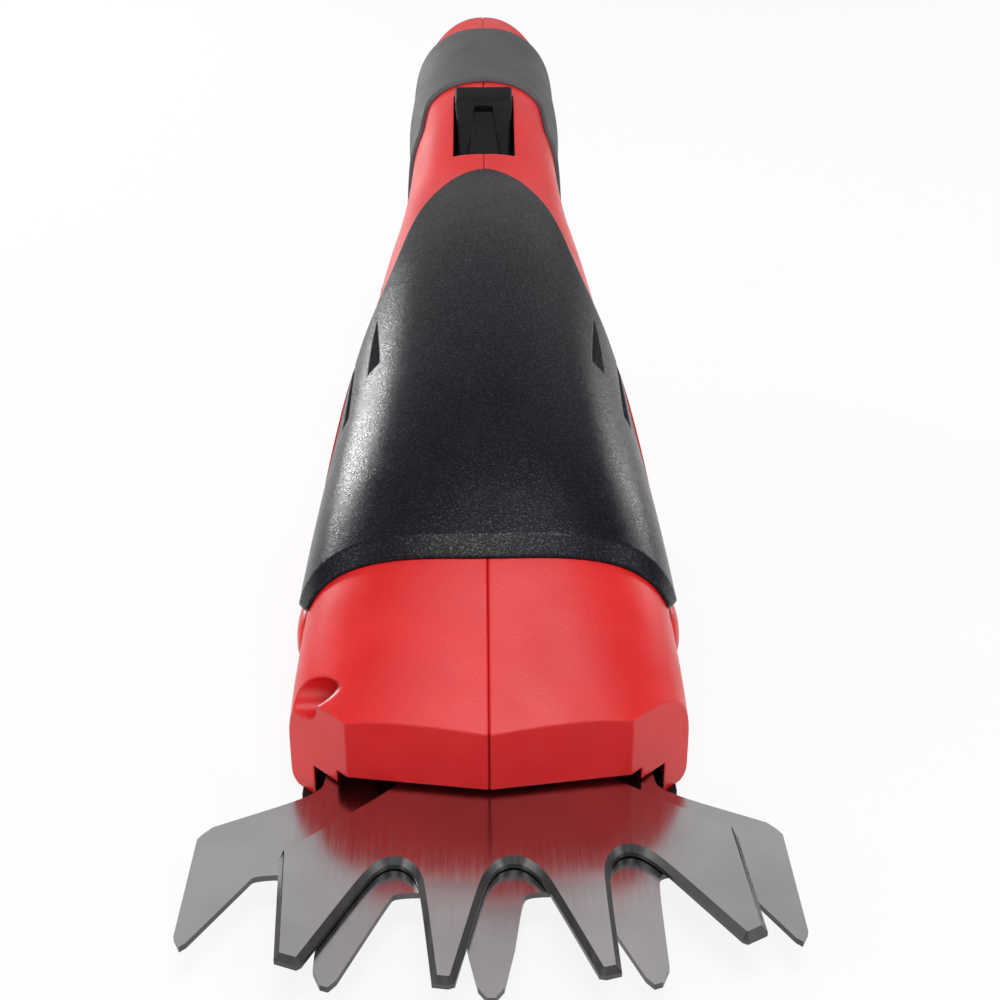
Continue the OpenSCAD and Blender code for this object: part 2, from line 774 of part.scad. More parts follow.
module sole_screws() {
    color("silver") from_tip() both_sides() sole_screw_places()
        translate([0, 0, sole_step_height + screw_bite])
            mirror([0, 0, 1]) {
                rod_z(screw_radius, screw_bite);
                translate([0, 0, screw_bite]) rod_z(screw_head_radius, sole_step_height - sole_inset);
            }
}

// Soft grip round the handle
module grip_half() {
    rows = 14;
    turns = half_turns();
    shell_loft([
        for (r = [0 : rows])
            let(shares = [for (turn = turns)
                let(front = lookup(turn / 90, grip_front_shares))
                front + (grip_end_share - front) * r / rows])
            concat(
                [for (i = [0 : ring_steps]) half_skin(shares[i], turns[i], grip_gap + grip_thickness)],
                [for (i = [ring_steps : -1 : 0]) half_skin(shares[i], turns[i], grip_gap)])
    ]);
}

module grip_left() {
    color([0.3, 0.3, 0.31]) from_tip() difference() {
        grip_half();
        lock_frame() translate([-overrun, -lock_length / 2, -tray_depth])
            cube([lock_width / 2 + overrun, lock_length, 2 * tray_depth]);
    }
}

module grip_right() {
    color([0.3, 0.3, 0.31]) from_tip() mirror([1, 0, 0]) difference() {
        grip_half();
        lock_frame() translate([-overrun, -lock_length / 2, -tray_depth])
            cube([lock_width / 2 + overrun, lock_length, 2 * tray_depth]);
        screw_recesses();
    }
}

// Blades

function mirrored(half) = concat(half, [for (p = reversed(half)) if (p[0] != 0) [-p[0], p[1]]]);

function tang_point(p) = [p[0] * mouth_width / 2, nose_y + p[1] * pivot_setback];

module fixed_blade() {
    half = concat(
        [for (p = fixed_blade_shares) [p[0] * fixed_blade_width / 2, p[1] * blade_reach]],
        [for (p = fixed_tang_shares) tang_point(p)]);
    color([0.62, 0.62, 0.64]) from_tip() translate([0, 0, fixed_blade_z])
        linear_extrude(blade_thickness) difference() {
            polygon(mirrored(half));
            translate([0, pivot_y]) circle(pivot_shank_radius + seat_gap, $fn = round_fn);
            rivet_points() circle(rivet_radius + seat_gap, $fn = round_fn);
        }
}

module rivet_points() {
    for (p = rivet_shares, side = [-1, 1])
        translate([side * p[0] * mouth_width / 2, nose_y + p[1] * pivot_setback]) children();
}

module moving_blade() {
    half = concat(
        [for (p = moving_blade_shares) [p[0] * moving_blade_width / 2, -p[1] * moving_blade_reach]],
        [
            [pivot_eye_radius, 0],
            [window_half_width + tail_rim, tail_arm - window_half_length],
            [window_half_width + tail_rim, tail_arm + window_half_length + tail_rim],
            [0, tail_arm + window_half_length + tail_rim]
        ]);
    color([0.66, 0.66, 0.68]) from_tip() translate([0, pivot_y, moving_blade_z])
        rotate(blade_rest_angle) linear_extrude(blade_thickness) difference() {
            polygon(mirrored(half));
            circle(pivot_radius + running_gap, $fn = round_fn);
            translate([-window_half_width, tail_arm - window_half_length])
                square([2 * window_half_width, 2 * window_half_length]);
        }
}

module blade_carrier() {
    front = nose_y + nose_rake + nose_wall;
    half_front = mouth_width / 2 - 3 * post_radius;
    half_back = tang_point(fixed_tang_shares[4])[0];
    back = tang_point(fixed_tang_shares[4])[1];
    waist = tang_point(fixed_tang_shares[2])[1];
    color([0.2, 0.2, 0.22]) from_tip() translate([0, 0, sole_thickness]) difference() {
        linear_extrude(carrier_thickness) difference() {
            polygon([
                [-half_front, front], [half_front, front], [half_front, waist], [half_back, waist],
                [half_back, back], [-half_back, back], [-half_back, waist], [-half_front, waist]
            ]);
            translate([0, pivot_y]) circle(pivot_shank_radius + seat_gap, $fn = round_fn);
            rivet_points() circle(rivet_radius + seat_gap, $fn = round_fn);
        }
        translate([0, pivot_y, -overrun])
            cylinder(r = nut_radius + seat_gap, h = nut_height + overrun, $fn = 6);
    }
}

module blade_rivets() {
    color("gainsboro") from_tip() rivet_points() translate([0, 0, sole_thickness])
        rod_z(rivet_radius, carrier_thickness + blade_thickness);
}

module pivot_bolt() {
    color("silver") from_tip() translate([0, pivot_y, 0]) difference() {
        union() {
            translate([0, 0, sole_thickness])
                rod_z(pivot_shank_radius, cut_height - sole_thickness);
            translate([0, 0, cut_height]) rod_z(pivot_radius, blade_thickness + 2 * blade_gap);
            translate([0, 0, moving_blade_top + blade_gap]) rod_z(pivot_head_radius, pivot_head_height);
        }
        translate([0, 0, moving_blade_top + blade_gap + pivot_head_height / 2])
            cylinder(r = pivot_shank_radius, h = pivot_head_height, $fn = 6);
    }
}

module pivot_nut() {
    color("dimgray") from_tip() translate([0, pivot_y, sole_thickness]) difference() {
        cylinder(r = nut_radius, h = nut_height, $fn = 6);
        translate([0, 0, -overrun]) rod_z(pivot_shank_radius + seat_gap, nut_height + 2 * overrun);
    }
}

// Gears: involute teeth, with a tooth on +X

function involute(base, roll) =
    [base * (cos(roll) + roll * PI / 180 * sin(roll)), base * (sin(roll) - roll * PI / 180 * cos(roll))];
function roll_at(base, r) = sqrt(max(0, (r / base) ^ 2 - 1)) * 180 / PI;
function flank_angle(base, r) = let(p = involute(base, roll_at(base, r))) atan2(p[1], p[0]);
function gear_outline(teeth) =
    let(pitch = gear_module * teeth / 2, base = pitch * cos(pressure_angle))
    let(tip = pitch + gear_module, root = pitch - 1.25 * gear_module, steps = 4)
    let(half = 90 / teeth - backlash / 2 / pitch * 180 / PI + flank_angle(base, pitch))
    let(radii = [for (i = [0 : steps]) max(base, root) + (tip - max(base, root)) * i / steps])
    [
        for (t = [0 : teeth - 1])
            let(turn = 360 * t / teeth)
            each concat(
                [[root * cos(turn - half), root * sin(turn - half)]],
                [for (r = radii) let(a = turn - half + flank_angle(base, r)) [r * cos(a), r * sin(a)]],
                [for (r = reversed(radii))
                    let(a = turn + half - flank_angle(base, r))
                    [r * cos(a), r * sin(a)]],
                [[root * cos(turn + half), root * sin(turn + half)]])
    ];

module gear(teeth, width, bore) {
    linear_extrude(width) difference() {
        polygon(gear_outline(teeth));
        circle(bore, $fn = round_fn);
    }
}

// The idler has a tooth towards the crank and one towards the motor
module crank_gear() {
    color("ivory") from_tip() translate([0, crank_y, 0]) difference() {
        union() {
            translate([0, 0, crank_gear_z]) rotate(90 + 180 / crank_teeth)
                gear(crank_teeth, crank_gear_width, crank_shaft_radius + seat_gap);
            translate([0, 0, base_z]) rod_z(hub_radius, crank_gear_z - base_z);
        }
        translate([0, 0, crank_gear_z]) rod_z(crank_shaft_radius + seat_gap, crank_gear_width);
        crank_pin_place() translate([0, 0, -overrun])
            rod_z(crank_pin_radius + seat_gap, crank_gear_z + overrun);
    }
}

module crank_pin_place() {
    translate([crank_throw * cos(crank_phase), crank_throw * sin(crank_phase), 0]) children();
}

module crank_pin() {
    color("silver") from_tip() translate([0, crank_y, moving_blade_z]) crank_pin_place()
        rod_z(crank_pin_radius, crank_gear_z - moving_blade_z);
}

module crank_shaft() {
    color("silver") from_tip() translate([0, crank_y, crank_gear_z])
        rod_z(crank_shaft_radius, plate_top - crank_gear_z + bush_flange);
}

module crank_bush() {
    color("darkgoldenrod") from_tip() translate([0, crank_y, plate_z]) difference() {
        union() {
            rod_z(bush_radius, plate_thickness);
            translate([0, 0, plate_thickness]) rod_z(bush_radius + bush_flange, bush_flange);
        }
        translate([0, 0, -overrun])
            rod_z(crank_shaft_radius + running_gap, plate_thickness + bush_flange + 2 * overrun);
    }
}

module idler_gear() {
    color("ivory") from_tip() translate([0, idler_y, 0]) {
        translate([0, 0, crank_gear_z]) rotate(-90)
            gear(idler_pinion_teeth, idler_gear_z - crank_gear_z, idler_pin_radius + running_gap);
        translate([0, 0, idler_gear_z]) rotate(90)
            gear(idler_teeth, idler_gear_width, idler_pin_radius + running_gap);
    }
}

module idler_pin() {
    color("silver") from_tip() translate([0, idler_y, base_z]) rod_z(idler_pin_radius, plate_top - base_z);
}

module motor_pinion() {
    color("goldenrod") from_tip() translate([0, motor_y, idler_gear_z]) rotate(-90 + 180 / motor_teeth)
        gear(motor_teeth, idler_gear_width, motor_shaft_radius + seat_gap);
}

// Gearbox plates

module plate_outline() {
    rear = rear_post_x + 1.2 * post_radius;
    front = front_post_x + 1.2 * post_radius;
    polygon([
        [-front, plate_front], [front, plate_front], [front, front_post_y + 2 * post_radius],
        [rear, idler_y], [rear, plate_end], [-rear, plate_end], [-rear, idler_y],
        [-front, front_post_y + 2 * post_radius]
    ]);
}

module post_holes() {
    gear_posts() circle(screw_radius + seat_gap, $fn = round_fn);
}

module gear_base() {
    color([0.55, 0.57, 0.6]) from_tip() translate([0, 0, base_z])
        linear_extrude(plate_thickness) difference() {
        plate_outline();
        post_holes();
        translate([0, crank_y]) circle(hub_radius + running_gap, $fn = round_fn);
        translate([0, idler_y]) circle(idler_pin_radius + seat_gap, $fn = round_fn);
    }
}

module gear_plate() {
    color([0.55, 0.57, 0.6]) from_tip() translate([0, 0, plate_z])
        linear_extrude(plate_thickness) difference() {
        plate_outline();
        post_holes();
        translate([0, crank_y]) circle(bush_radius + seat_gap, $fn = round_fn);
        translate([0, idler_y]) circle(idler_pin_radius + seat_gap, $fn = round_fn);
        translate([0, motor_y]) circle(motor_boss_radius + seat_gap, $fn = round_fn);
        motor_screw_places() circle(screw_radius + seat_gap, $fn = round_fn);
    }
}

module gear_pillars() {
    color([0.5, 0.52, 0.55]) from_tip() gear_posts() translate([0, 0, base_top]) difference() {
        rod_z(post_radius, plate_z - base_top);
        translate([0, 0, -overrun]) rod_z(screw_radius + seat_gap, plate_z - base_top + 2 * overrun);
    }
}

module gearbox_screws() {
    start = sole_thickness + overrun;
    color("silver") from_tip() gear_posts() translate([0, 0, start]) screw(plate_top - start);
}

// Motor

module motor_screw_places() {
    both_sides() translate([motor_screw_x, motor_y]) children();
}

motor_top = plate_top + motor_length;
motor_gap = motor_length / 8;

module motor_can() {
    color("silver") from_tip() difference() {
        union() {
            translate([0, motor_y, plate_top]) rod_z(motor_radius, motor_length);
            translate([0, motor_y, plate_z]) rod_z(motor_boss_radius, plate_thickness);
        }
        translate([0, motor_y, plate_top + motor_wall]) rod_z(motor_radius - motor_wall, motor_length);
        translate([0, motor_y, 0]) rod_z(motor_shaft_radius + running_gap, motor_top);
        motor_screw_places() rod_z(screw_radius + seat_gap, plate_top + motor_wall + overrun);
    }
}

module motor_cap() {
    color([0.15, 0.15, 0.16]) from_tip() translate([0, motor_y, motor_top]) difference() {
        union() {
            rod_z(motor_radius - motor_wall / 2, motor_cap_height - motor_wall);
            rod_z(motor_boss_radius, motor_cap_height);
            both_sides() translate([motor_screw_x - motor_wall, -motor_wall, 0])
                cube([motor_wall / 2, 2 * motor_wall, motor_cap_height + motor_wall / 2]);
        }
        translate([0, 0, -overrun]) rod_z(motor_shaft_radius + running_gap, motor_cap_height + 2 * overrun);
    }
}

module motor_rotor() {
    color("darkgray") from_tip() translate([0, motor_y, 0]) {
        translate([0, 0, idler_gear_z])
            rod_z(motor_shaft_radius, motor_top + motor_cap_height - idler_gear_z);
        translate([0, 0, plate_top + motor_wall + motor_gap])
            rod_z(rotor_radius, motor_length - 4 * motor_gap);
        translate([0, 0, motor_top - 2 * motor_gap]) rod_z(2 * motor_shaft_radius, motor_gap);
    }
}

module motor_magnets() {
    outer = motor_radius - motor_wall - seat_gap;
    color("dimgray") from_tip() translate([0, motor_y, plate_top + motor_wall])
        both_sides() difference() {
            rod_z(outer, motor_length - 3 * motor_gap);
            translate([0, 0, -overrun]) rod_z(magnet_inner, motor_length);
            translate([-motor_radius, -motor_radius, -overrun])
                cube([motor_radius + motor_boss_radius, 2 * motor_radius, motor_length]);
        }
}

module motor_screws() {
    head = screw_head_radius * 0.8;
    color("silver") from_tip() motor_screw_places() {
        translate([0, 0, plate_z - gear_play]) rod_z(head, gear_play);
        translate([0, 0, plate_z]) rod_z(screw_radius, plate_thickness + motor_wall);
    }
}

// Lock slider

module lock_slider() {
    half = lock_width / 2 - lock_play;
    back = lock_length / 2 - lock_play;
    front = -lock_length / 2 - tongue_length + lock_travel;
    floor_z = -tray_depth + lock_play;
    sheet = floor_z + tray_wall;
    color([0.08, 0.08, 0.09]) from_tip() lock_frame() {
        translate([-half, 0, 0]) rotate([90, 0, 90]) linear_extrude(2 * half)
            polygon([
                [front, floor_z], [back, floor_z], [back, lock_rise], [0.75 * back, lock_rise],
                [0.6 * back, 0.5 * lock_rise], [-0.8 * back, sheet], [front, sheet]
            ]);
        translate([-stem_width / 2, 0, 0]) rotate([90, 0, 90]) linear_extrude(stem_width)
            polygon([
                [0.3 * back, 0], [0.3 * back, lock_rise], [0.2 * back, lock_rise], [-0.7 * back, sheet]
            ]);
        translate([-stem_width / 2, -stem_length / 2, floor_z - stem_drop])
            cube([stem_width, stem_length, stem_drop]);
    }
}

module lock_tray() {
    half = lock_width / 2;
    front = lock_length / 2 + tongue_length + lock_play;
    back = lock_length / 2;
    slot = stem_length / 2 + lock_travel + lock_play;
    color([0.1, 0.1, 0.11]) from_tip() lock_frame() difference() {
        union() {
            translate([-half - tray_wall, -front - tray_wall, -tray_depth - tray_wall])
                cube([
                    2 * (half + tray_wall), front + back + 2 * tray_wall, tray_depth + tray_wall - tray_lip
                ]);
            // Tab that the slider's spring pushes against
            translate([-stem_width / 2, -slot - 2 * stem_drop, -tray_depth - stem_drop])
                cube([stem_width, tray_wall, stem_drop]);
        }
        translate([-half, -front, -tray_depth]) cube([2 * half, front + back, 2 * tray_depth]);
        translate([-stem_width / 2 - lock_play, -slot, -2 * tray_depth])
            cube([stem_width + 2 * lock_play, 2 * slot - lock_travel, 2 * tray_depth]);
    }
}

module lock_spring() {
    wire = 0.3;
    slot = stem_length / 2 + lock_travel + lock_play;
    from = -slot - 2 * stem_drop + tray_wall;
    color("silver") from_tip() lock_frame()
        translate([0, from, -tray_depth - tray_wall - stem_drop / 3]) rotate([-90, 0, 0])
            coil(stem_drop / 4, wire, 7, -stem_length / 2 - from);
}

// Trigger

module trigger() {
    half = trigger_width / 2;
    color([0.1, 0.1, 0.11]) from_tip() trigger_frame() difference() {
        union() {
            translate([-half, 0, 0]) rotate([90, 0, 90]) linear_extrude(trigger_width)
                polygon([
                    [0, -trigger_eye_radius], [0.1 * trigger_length, -0.8 * trigger_drop],
                    [0.25 * trigger_length, -0.94 * trigger_drop], [0.55 * trigger_length, -trigger_drop],
                    [0.85 * trigger_length, -0.93 * trigger_drop], [trigger_length, -0.7 * trigger_drop],
                    [trigger_length, 0], [0.9 * trigger_length, trigger_back], [0, trigger_back]
                ]);
            translate([-half, 0, 0]) rod_x(trigger_eye_radius, trigger_width);
        }
        translate([-half - overrun, 0, 0])
            rod_x(trigger_pin_radius + running_gap, trigger_width + 2 * overrun);
        // Slot for the return spring
        translate([-half / 2, -2 * trigger_eye_radius, -trigger_eye_radius])
            cube([half, 3 * trigger_eye_radius + trigger_play, 3 * trigger_eye_radius]);
    }
}

module trigger_pin() {
    length = 2 * trigger_width;
    color("silver") from_tip() trigger_frame()
        translate([-length / 2, 0, 0]) rod_x(trigger_pin_radius, length);
}

module trigger_spring() {
    wire = 0.35;
    outer = trigger_pin_radius + 3 * wire;
    turns = 3;
    color("silver") from_tip() trigger_frame() translate([-trigger_width / 4 + wire, 0, 0])
        rotate([0, 90, 0]) coil(outer, wire, turns, trigger_width / 2 - 2 * wire);
}

// The switch lies just above the squeezed trigger
press_y = switch_start + switch_length / 2;
plunger_z = press_y * sin(trigger_travel) + trigger_back * cos(trigger_travel) + switch_gap;
switch_z = plunger_z + plunger_height;

module switch_post_places() {
    for (share = switch_post_shares)
        trigger_frame()
            translate([switch_width / 2, switch_start + share * switch_length, switch_z + switch_height / 2])
                children();
}

module micro_switch() {
    color([0.05, 0.05, 0.06]) from_tip() trigger_frame() {
        translate([-switch_width / 2, switch_start, switch_z])
            cube([switch_width, switch_length, switch_height]);
        translate([0, press_y, plunger_z]) rod_z(plunger_radius, plunger_height);
    }
}

// Release buttons

module button() {
    outer = side_x(button_share, button_z) + button_rise;
    color("crimson") translate([0, at(button_share), button_z]) {
        translate([button_inner_x, -button_length / 2, -button_height / 2])
            cube([outer - button_inner_x, button_length, button_height]);
        translate([button_inner_x, -button_length / 2 - button_rim, -button_height / 2 - button_rim])
            cube([button_flange, button_length + 2 * button_rim, button_height + 2 * button_rim]);
    }
}

module button_spring() {
    wire = 0.35;
    color("silver") translate([button_seat_x, at(button_share), button_z]) rotate([0, 90, 0])
        coil(1.6 * seat_wall, wire, 6, button_inner_x - button_seat_x);
}

module release_button_left() {
    from_tip() button();
}

module release_button_right() {
    from_tip() mirror([1, 0, 0]) button();
}

module button_spring_left() {
    from_tip() button_spring();
}

module button_spring_right() {
    from_tip() mirror([1, 0, 0]) button_spring();
}

// Battery and charging

module battery_cell() {
    color("seagreen") from_tip() cell_frame() rod_y(cell_radius, cell_length);
}

module battery_cradle() {
    half = cell_radius + cradle_wall;
    front = cradle_start_share * cell_length;
    back = cell_length + tab_thickness + cradle_gap;
    foot = cell_z - bottom_z(cell_share) - 1.4 * housing_wall;
    color([0.25, 0.25, 0.27]) from_tip() cell_frame() {
        difference() {
            translate([-half, front, -half])
                cube([2 * half, back - front + cradle_wall, half - cradle_wall]);
            translate([0, front - overrun, 0]) rod_y(cell_radius + cradle_gap, back - front + overrun);
        }
        translate([-foot_width / 2, cell_length / 4, -foot])
            cube([foot_width, cell_length / 2, foot - half]);
    }
}

module battery_tabs() {
    side = cell_radius;
    color("gold") from_tip() cell_frame()
        for (y = [-tab_thickness, cell_length])
            translate([-side / 2, y, -side / 2]) cube([side, tab_thickness, side]);
}

module control_board() {
    color("darkgreen") from_tip() cell_frame()
        translate([-board_size / 2, board_y, -board_size / 2])
            cube([board_size, board_thickness, board_size]);
}

module charging_jack() {
    start = board_y + board_thickness;
    color([0.1, 0.1, 0.1]) from_tip() cell_frame() difference() {
        translate([0, start, 0]) rod_y(jack_body_radius, jack_end - start);
        translate([0, jack_end - jack_depth, 0]) rod_y(jack_radius, jack_depth + overrun);
    }
}

housing_left();
housing_right();
top_cover();
sole_plate();
grip_left();
grip_right();
housing_screws();
sole_screws();
fixed_blade();
moving_blade();
blade_carrier();
blade_rivets();
pivot_bolt();
pivot_nut();
gear_base();
gear_plate();
gear_pillars();
gearbox_screws();
crank_gear();
crank_pin();
crank_shaft();
crank_bush();
idler_gear();
idler_pin();
motor_pinion();
motor_can();
motor_cap();
motor_rotor();
motor_magnets();
motor_screws();
lock_slider();
lock_tray();
lock_spring();
trigger();
trigger_pin();
trigger_spring();
micro_switch();
release_button_left();
release_button_right();
button_spring_left();
button_spring_right();
battery_cell();
battery_cradle();
battery_tabs();
control_board();
charging_jack();
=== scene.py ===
import json
import math

import bmesh
import bpy
from mathutils import Matrix, Vector
from mathutils.geometry import tessellate_polygon


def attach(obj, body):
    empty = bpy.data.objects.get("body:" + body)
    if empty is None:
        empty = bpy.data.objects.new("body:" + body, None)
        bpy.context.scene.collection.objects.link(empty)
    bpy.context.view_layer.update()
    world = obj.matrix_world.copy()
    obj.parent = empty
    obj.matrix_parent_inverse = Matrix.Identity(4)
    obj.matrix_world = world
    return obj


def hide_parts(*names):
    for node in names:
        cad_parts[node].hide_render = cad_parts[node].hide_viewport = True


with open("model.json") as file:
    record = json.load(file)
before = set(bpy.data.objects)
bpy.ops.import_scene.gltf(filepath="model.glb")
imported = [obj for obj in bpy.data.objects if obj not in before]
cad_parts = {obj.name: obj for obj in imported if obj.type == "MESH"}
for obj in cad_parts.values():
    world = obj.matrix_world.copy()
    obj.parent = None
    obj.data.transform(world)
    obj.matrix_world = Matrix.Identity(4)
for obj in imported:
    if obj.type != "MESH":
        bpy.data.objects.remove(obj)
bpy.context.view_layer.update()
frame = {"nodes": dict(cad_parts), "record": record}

# Until a mesh is made, lengths are in millimetres, in a frame that starts at the tip of the
# fixed blade. Y runs from there to the end of the handle and Z is up. The depths and radii in the
# materials and the places and sizes on the stage are in metres.
MM = 0.001
BLADE_REACH = 51.0
BODY_LENGTH = 303.0
BODY_HEIGHT = 102.0
HEAD_WIDTH = 79.6
OVERALL_LENGTH = BLADE_REACH + BODY_LENGTH
HOUSING_WALL = 2.4
PARTING_GAP = 0.02
GROOVE_HALF = 0.22
GROOVE_DEPTH = 0.45
OVERRUN = 1.0

# Stations of the body: place along it, half width, top, bottom and widest level, and the powers
# that square off the section above and below its widest level. All but the powers are shares.
BODY_SHARES = [
    (0.000, 0.985, 0.231, 0.006, 0.093, 2.9, 9.0), (0.030, 0.997, 0.276, 0.000, 0.093, 2.8, 9.0),
    (0.079, 1.000, 0.350, 0.000, 0.103, 2.8, 9.0), (0.122, 0.985, 0.417, 0.000, 0.127, 2.7, 8.0),
    (0.195, 0.940, 0.520, 0.000, 0.196, 2.5, 7.0), (0.294, 0.866, 0.623, 0.000, 0.294, 2.3, 6.0),
    (0.393, 0.804, 0.701, 0.000, 0.392, 2.2, 4.5), (0.459, 0.729, 0.740, 0.020, 0.471, 2.2, 3.4),
    (0.525, 0.655, 0.765, 0.255, 0.549, 2.2, 2.5), (0.597, 0.577, 0.784, 0.412, 0.608, 2.3, 2.4),
    (0.657, 0.535, 0.833, 0.461, 0.647, 2.4, 2.4), (0.723, 0.521, 0.892, 0.508, 0.686, 2.4, 2.4),
    (0.789, 0.537, 0.927, 0.539, 0.716, 2.4, 2.4), (0.855, 0.525, 0.956, 0.559, 0.735, 2.4, 2.4),
    (0.921, 0.514, 0.990, 0.588, 0.755, 2.3, 2.3), (0.967, 0.430, 0.992, 0.622, 0.770, 2.2, 2.2),
    (0.990, 0.310, 0.950, 0.670, 0.785, 2.0, 2.0), (1.000, 0.190, 0.900, 0.720, 0.795, 2.0, 2.0),
]
HALF_WIDTH, TOP, BOTTOM, WAIST, POWER_UP, POWER_DOWN = range(1, 7)

# The cover's lower edge: place along the body and height up the side, as shares
COVER_EDGE_SHARES = [
    (0.139, 0.178), (0.152, 0.143), (0.195, 0.163), (0.257, 0.205), (0.281, 0.222), (0.337, 0.267),
    (0.376, 0.344), (0.409, 0.422), (0.432, 0.467), (0.472, 0.517), (0.498, 0.544), (0.528, 0.600),
    (0.553, 0.689), (0.574, 0.789), (0.587, 0.888), (0.593, 0.960),
]
# The cover's lip: place of its middle, and how far it bows back at the sides
LIP_SHARE = 0.116
LIP_BOW_SHARE = 0.0149
LIP_BOW_POWER = 1.4

# The grip's front edge: turn round the handle and place along the body, as shares
GRIP_FRONT_SHARES = [
    (-1.00, 0.775), (-0.78, 0.775), (-0.66, 0.660), (-0.33, 0.644), (-0.09, 0.660), (0.06, 0.696),
    (0.28, 0.705), (0.40, 0.713), (0.44, 0.742), (0.50, 0.756), (0.67, 0.762), (1.00, 0.766),
]
GRIP_END_SHARE = 0.905

# Screw recesses: place along the body and height
NOSE_SCREW_SHARES = (0.0470, 0.2225)
SCREW_SHARES = [(0.175, 0.372), (0.287, 0.450), (0.472, 0.560), (0.578, 0.600)]
# Vent slits: place along the body, height, and length as a share of the longer one
VENT_SHARES = [(0.310, 0.560, 0.680), (0.277, 0.468, 1.000)]

# Half outlines of the blades: shares of the half width and of the reach
FIXED_BLADE_SHARES = [
    (0.012, 0.000), (0.040, 0.045), (0.076, 0.240), (0.102, 0.450), (0.120, 0.500), (0.310, 0.500),
    (0.330, 0.465), (0.471, 0.085), (0.495, 0.053), (0.521, 0.063), (0.547, 0.130), (0.552, 0.540),
    (0.568, 0.600), (0.780, 0.600), (0.804, 0.553), (0.957, 0.262), (0.976, 0.243), (1.000, 0.294),
    (1.000, 0.800), (0.985, 0.830), (0.955, 0.870), (0.600, 1.065),
]
FIXED_TANG_SHARES = [
    (0.923, 0.235), (0.750, 0.392), (0.750, 0.942), (0.518, 1.072), (0.518, 1.399), (0.000, 1.399),
]
MOVING_BLADE_SHARES = [
    (0.000, 0.664), (0.050, 0.672), (0.090, 0.696), (0.126, 0.728), (0.283, 0.996), (0.310, 1.000),
    (0.374, 0.993), (0.402, 0.722), (0.425, 0.680), (0.470, 0.652), (0.520, 0.647), (0.570, 0.660),
    (0.629, 0.697), (0.885, 0.922), (0.905, 0.928), (0.995, 0.907), (1.000, 0.620), (0.985, 0.600),
    (0.476, 0.400), (0.333, 0.290), (0.286, 0.160),
]


# The body's skin

def at(share):
    return BLADE_REACH + share * BODY_LENGTH


def curve(table, share, column):
    """A column of a table of stations, drawn as a smooth curve through them."""
    last = len(table) - 1
    i = max([0] + [k for k in range(last) if table[k][0] <= share])

    def slope(k):
        a, b = table[max(k - 1, 0)], table[min(k + 1, last)]
        return (b[column] - a[column]) / (b[0] - a[0])

    gap = table[i + 1][0] - table[i][0]
    u = (share - table[i][0]) / gap
    start = (2 * u**3 - 3 * u**2 + 1) * table[i][column] + (u**3 - 2 * u**2 + u) * gap * slope(i)
    end = (3 * u**2 - 2 * u**3) * table[i + 1][column] + (u**3 - u**2) * gap * slope(i + 1)
    return start + end


def lookup(table, key):
    """Straight lines through a table's points."""
    if key <= table[0][0]:
        return table[0][1]
    for (a, va), (b, vb) in zip(table, table[1:]):
        if key <= b:
            return va + (vb - va) * (key - a) / (b - a)
    return table[-1][1]


def half_width(share):
    return HEAD_WIDTH / 2 * curve(BODY_SHARES, share, HALF_WIDTH)


def top_z(share):
    return BODY_HEIGHT * curve(BODY_SHARES, share, TOP)


def bottom_z(share):
    return BODY_HEIGHT * curve(BODY_SHARES, share, BOTTOM)


def waist_z(share):
    return BODY_HEIGHT * curve(BODY_SHARES, share, WAIST)


def side_x(share, z):
    """Half width of the body at a level."""
    waist = waist_z(share)
    upper = z >= waist
    power = curve(BODY_SHARES, share, POWER_UP if upper else POWER_DOWN)
    reach = top_z(share) - waist if upper else waist - bottom_z(share)
    inside = max(0.0, 1 - (abs(z - waist) / reach) ** power)
    return half_width(share) * inside ** (1 / power)


def section(share):
    """What skin() needs of one section of the body."""
    waist = waist_z(share)
    return {
        "y": at(share), "half": half_width(share), "waist": waist,
        "up": top_z(share) - waist, "down": waist - bottom_z(share),
        "power_up": 2 / curve(BODY_SHARES, share, POWER_UP),
        "power_down": 2 / curve(BODY_SHARES, share, POWER_DOWN),
    }


def skin(here, turn, grow):
    """A point of the skin: turn is 0 on the +X side, 90 on top and -90 below."""
    c, s = math.cos(math.radians(turn)), math.sin(math.radians(turn))
    power = here["power_up"] if s >= 0 else here["power_down"]
    reach = (here["up"] if s >= 0 else here["down"]) + grow
    x = (here["half"] + grow) * math.copysign(abs(c) ** power, c)
    return (x, here["y"], here["waist"] + reach * math.copysign(abs(s) ** power, s))


# Meshes

CIRCLE_SIDES = 48
FINE_CIRCLE_SIDES = 64


def to_frame(p):
    return (p[0] * MM, (p[1] - OVERALL_LENGTH / 2) * MM, p[2] * MM)


def add_object(name, data):
    obj = bpy.data.objects.new(name, data)
    bpy.context.scene.collection.objects.link(obj)
    return obj


def make_object(name, points, faces, side=1):
    """A mesh object from points in millimetres; side -1 makes the mirrored one."""
    mesh = bpy.data.meshes.new(name)
    mesh.from_pydata([to_frame((side * p[0], p[1], p[2])) for p in points], [], faces)
    mesh.validate()
    shape = bmesh.new()
    shape.from_mesh(mesh)
    if shape.calc_volume(signed=True) < 0:
        bmesh.ops.reverse_faces(shape, faces=shape.faces[:])
        shape.to_mesh(mesh)
    shape.free()
    return add_object(name, mesh)


def ring_faces(rows, n):
    """Quads round a stack of closed rings of n points."""
    return [
        (r * n + i, r * n + (i + 1) % n, (r + 1) * n + (i + 1) % n, (r + 1) * n + i)
        for r in range(rows - 1) for i in range(n)
    ]


def loft(name, rings, ends, side):
    points = [p for ring in rings for p in ring]
    return make_object(name, points, ends + ring_faces(len(rings), len(rings[0])), side)


def solid_loft(name, rings, side=1):
    """Solid through a stack of closed rings."""
    n, last = len(rings[0]), (len(rings) - 1) * len(rings[0])
    caps = [tuple(range(n - 1, -1, -1)), tuple(last + i for i in range(n))]
    return loft(name, rings, caps, side)


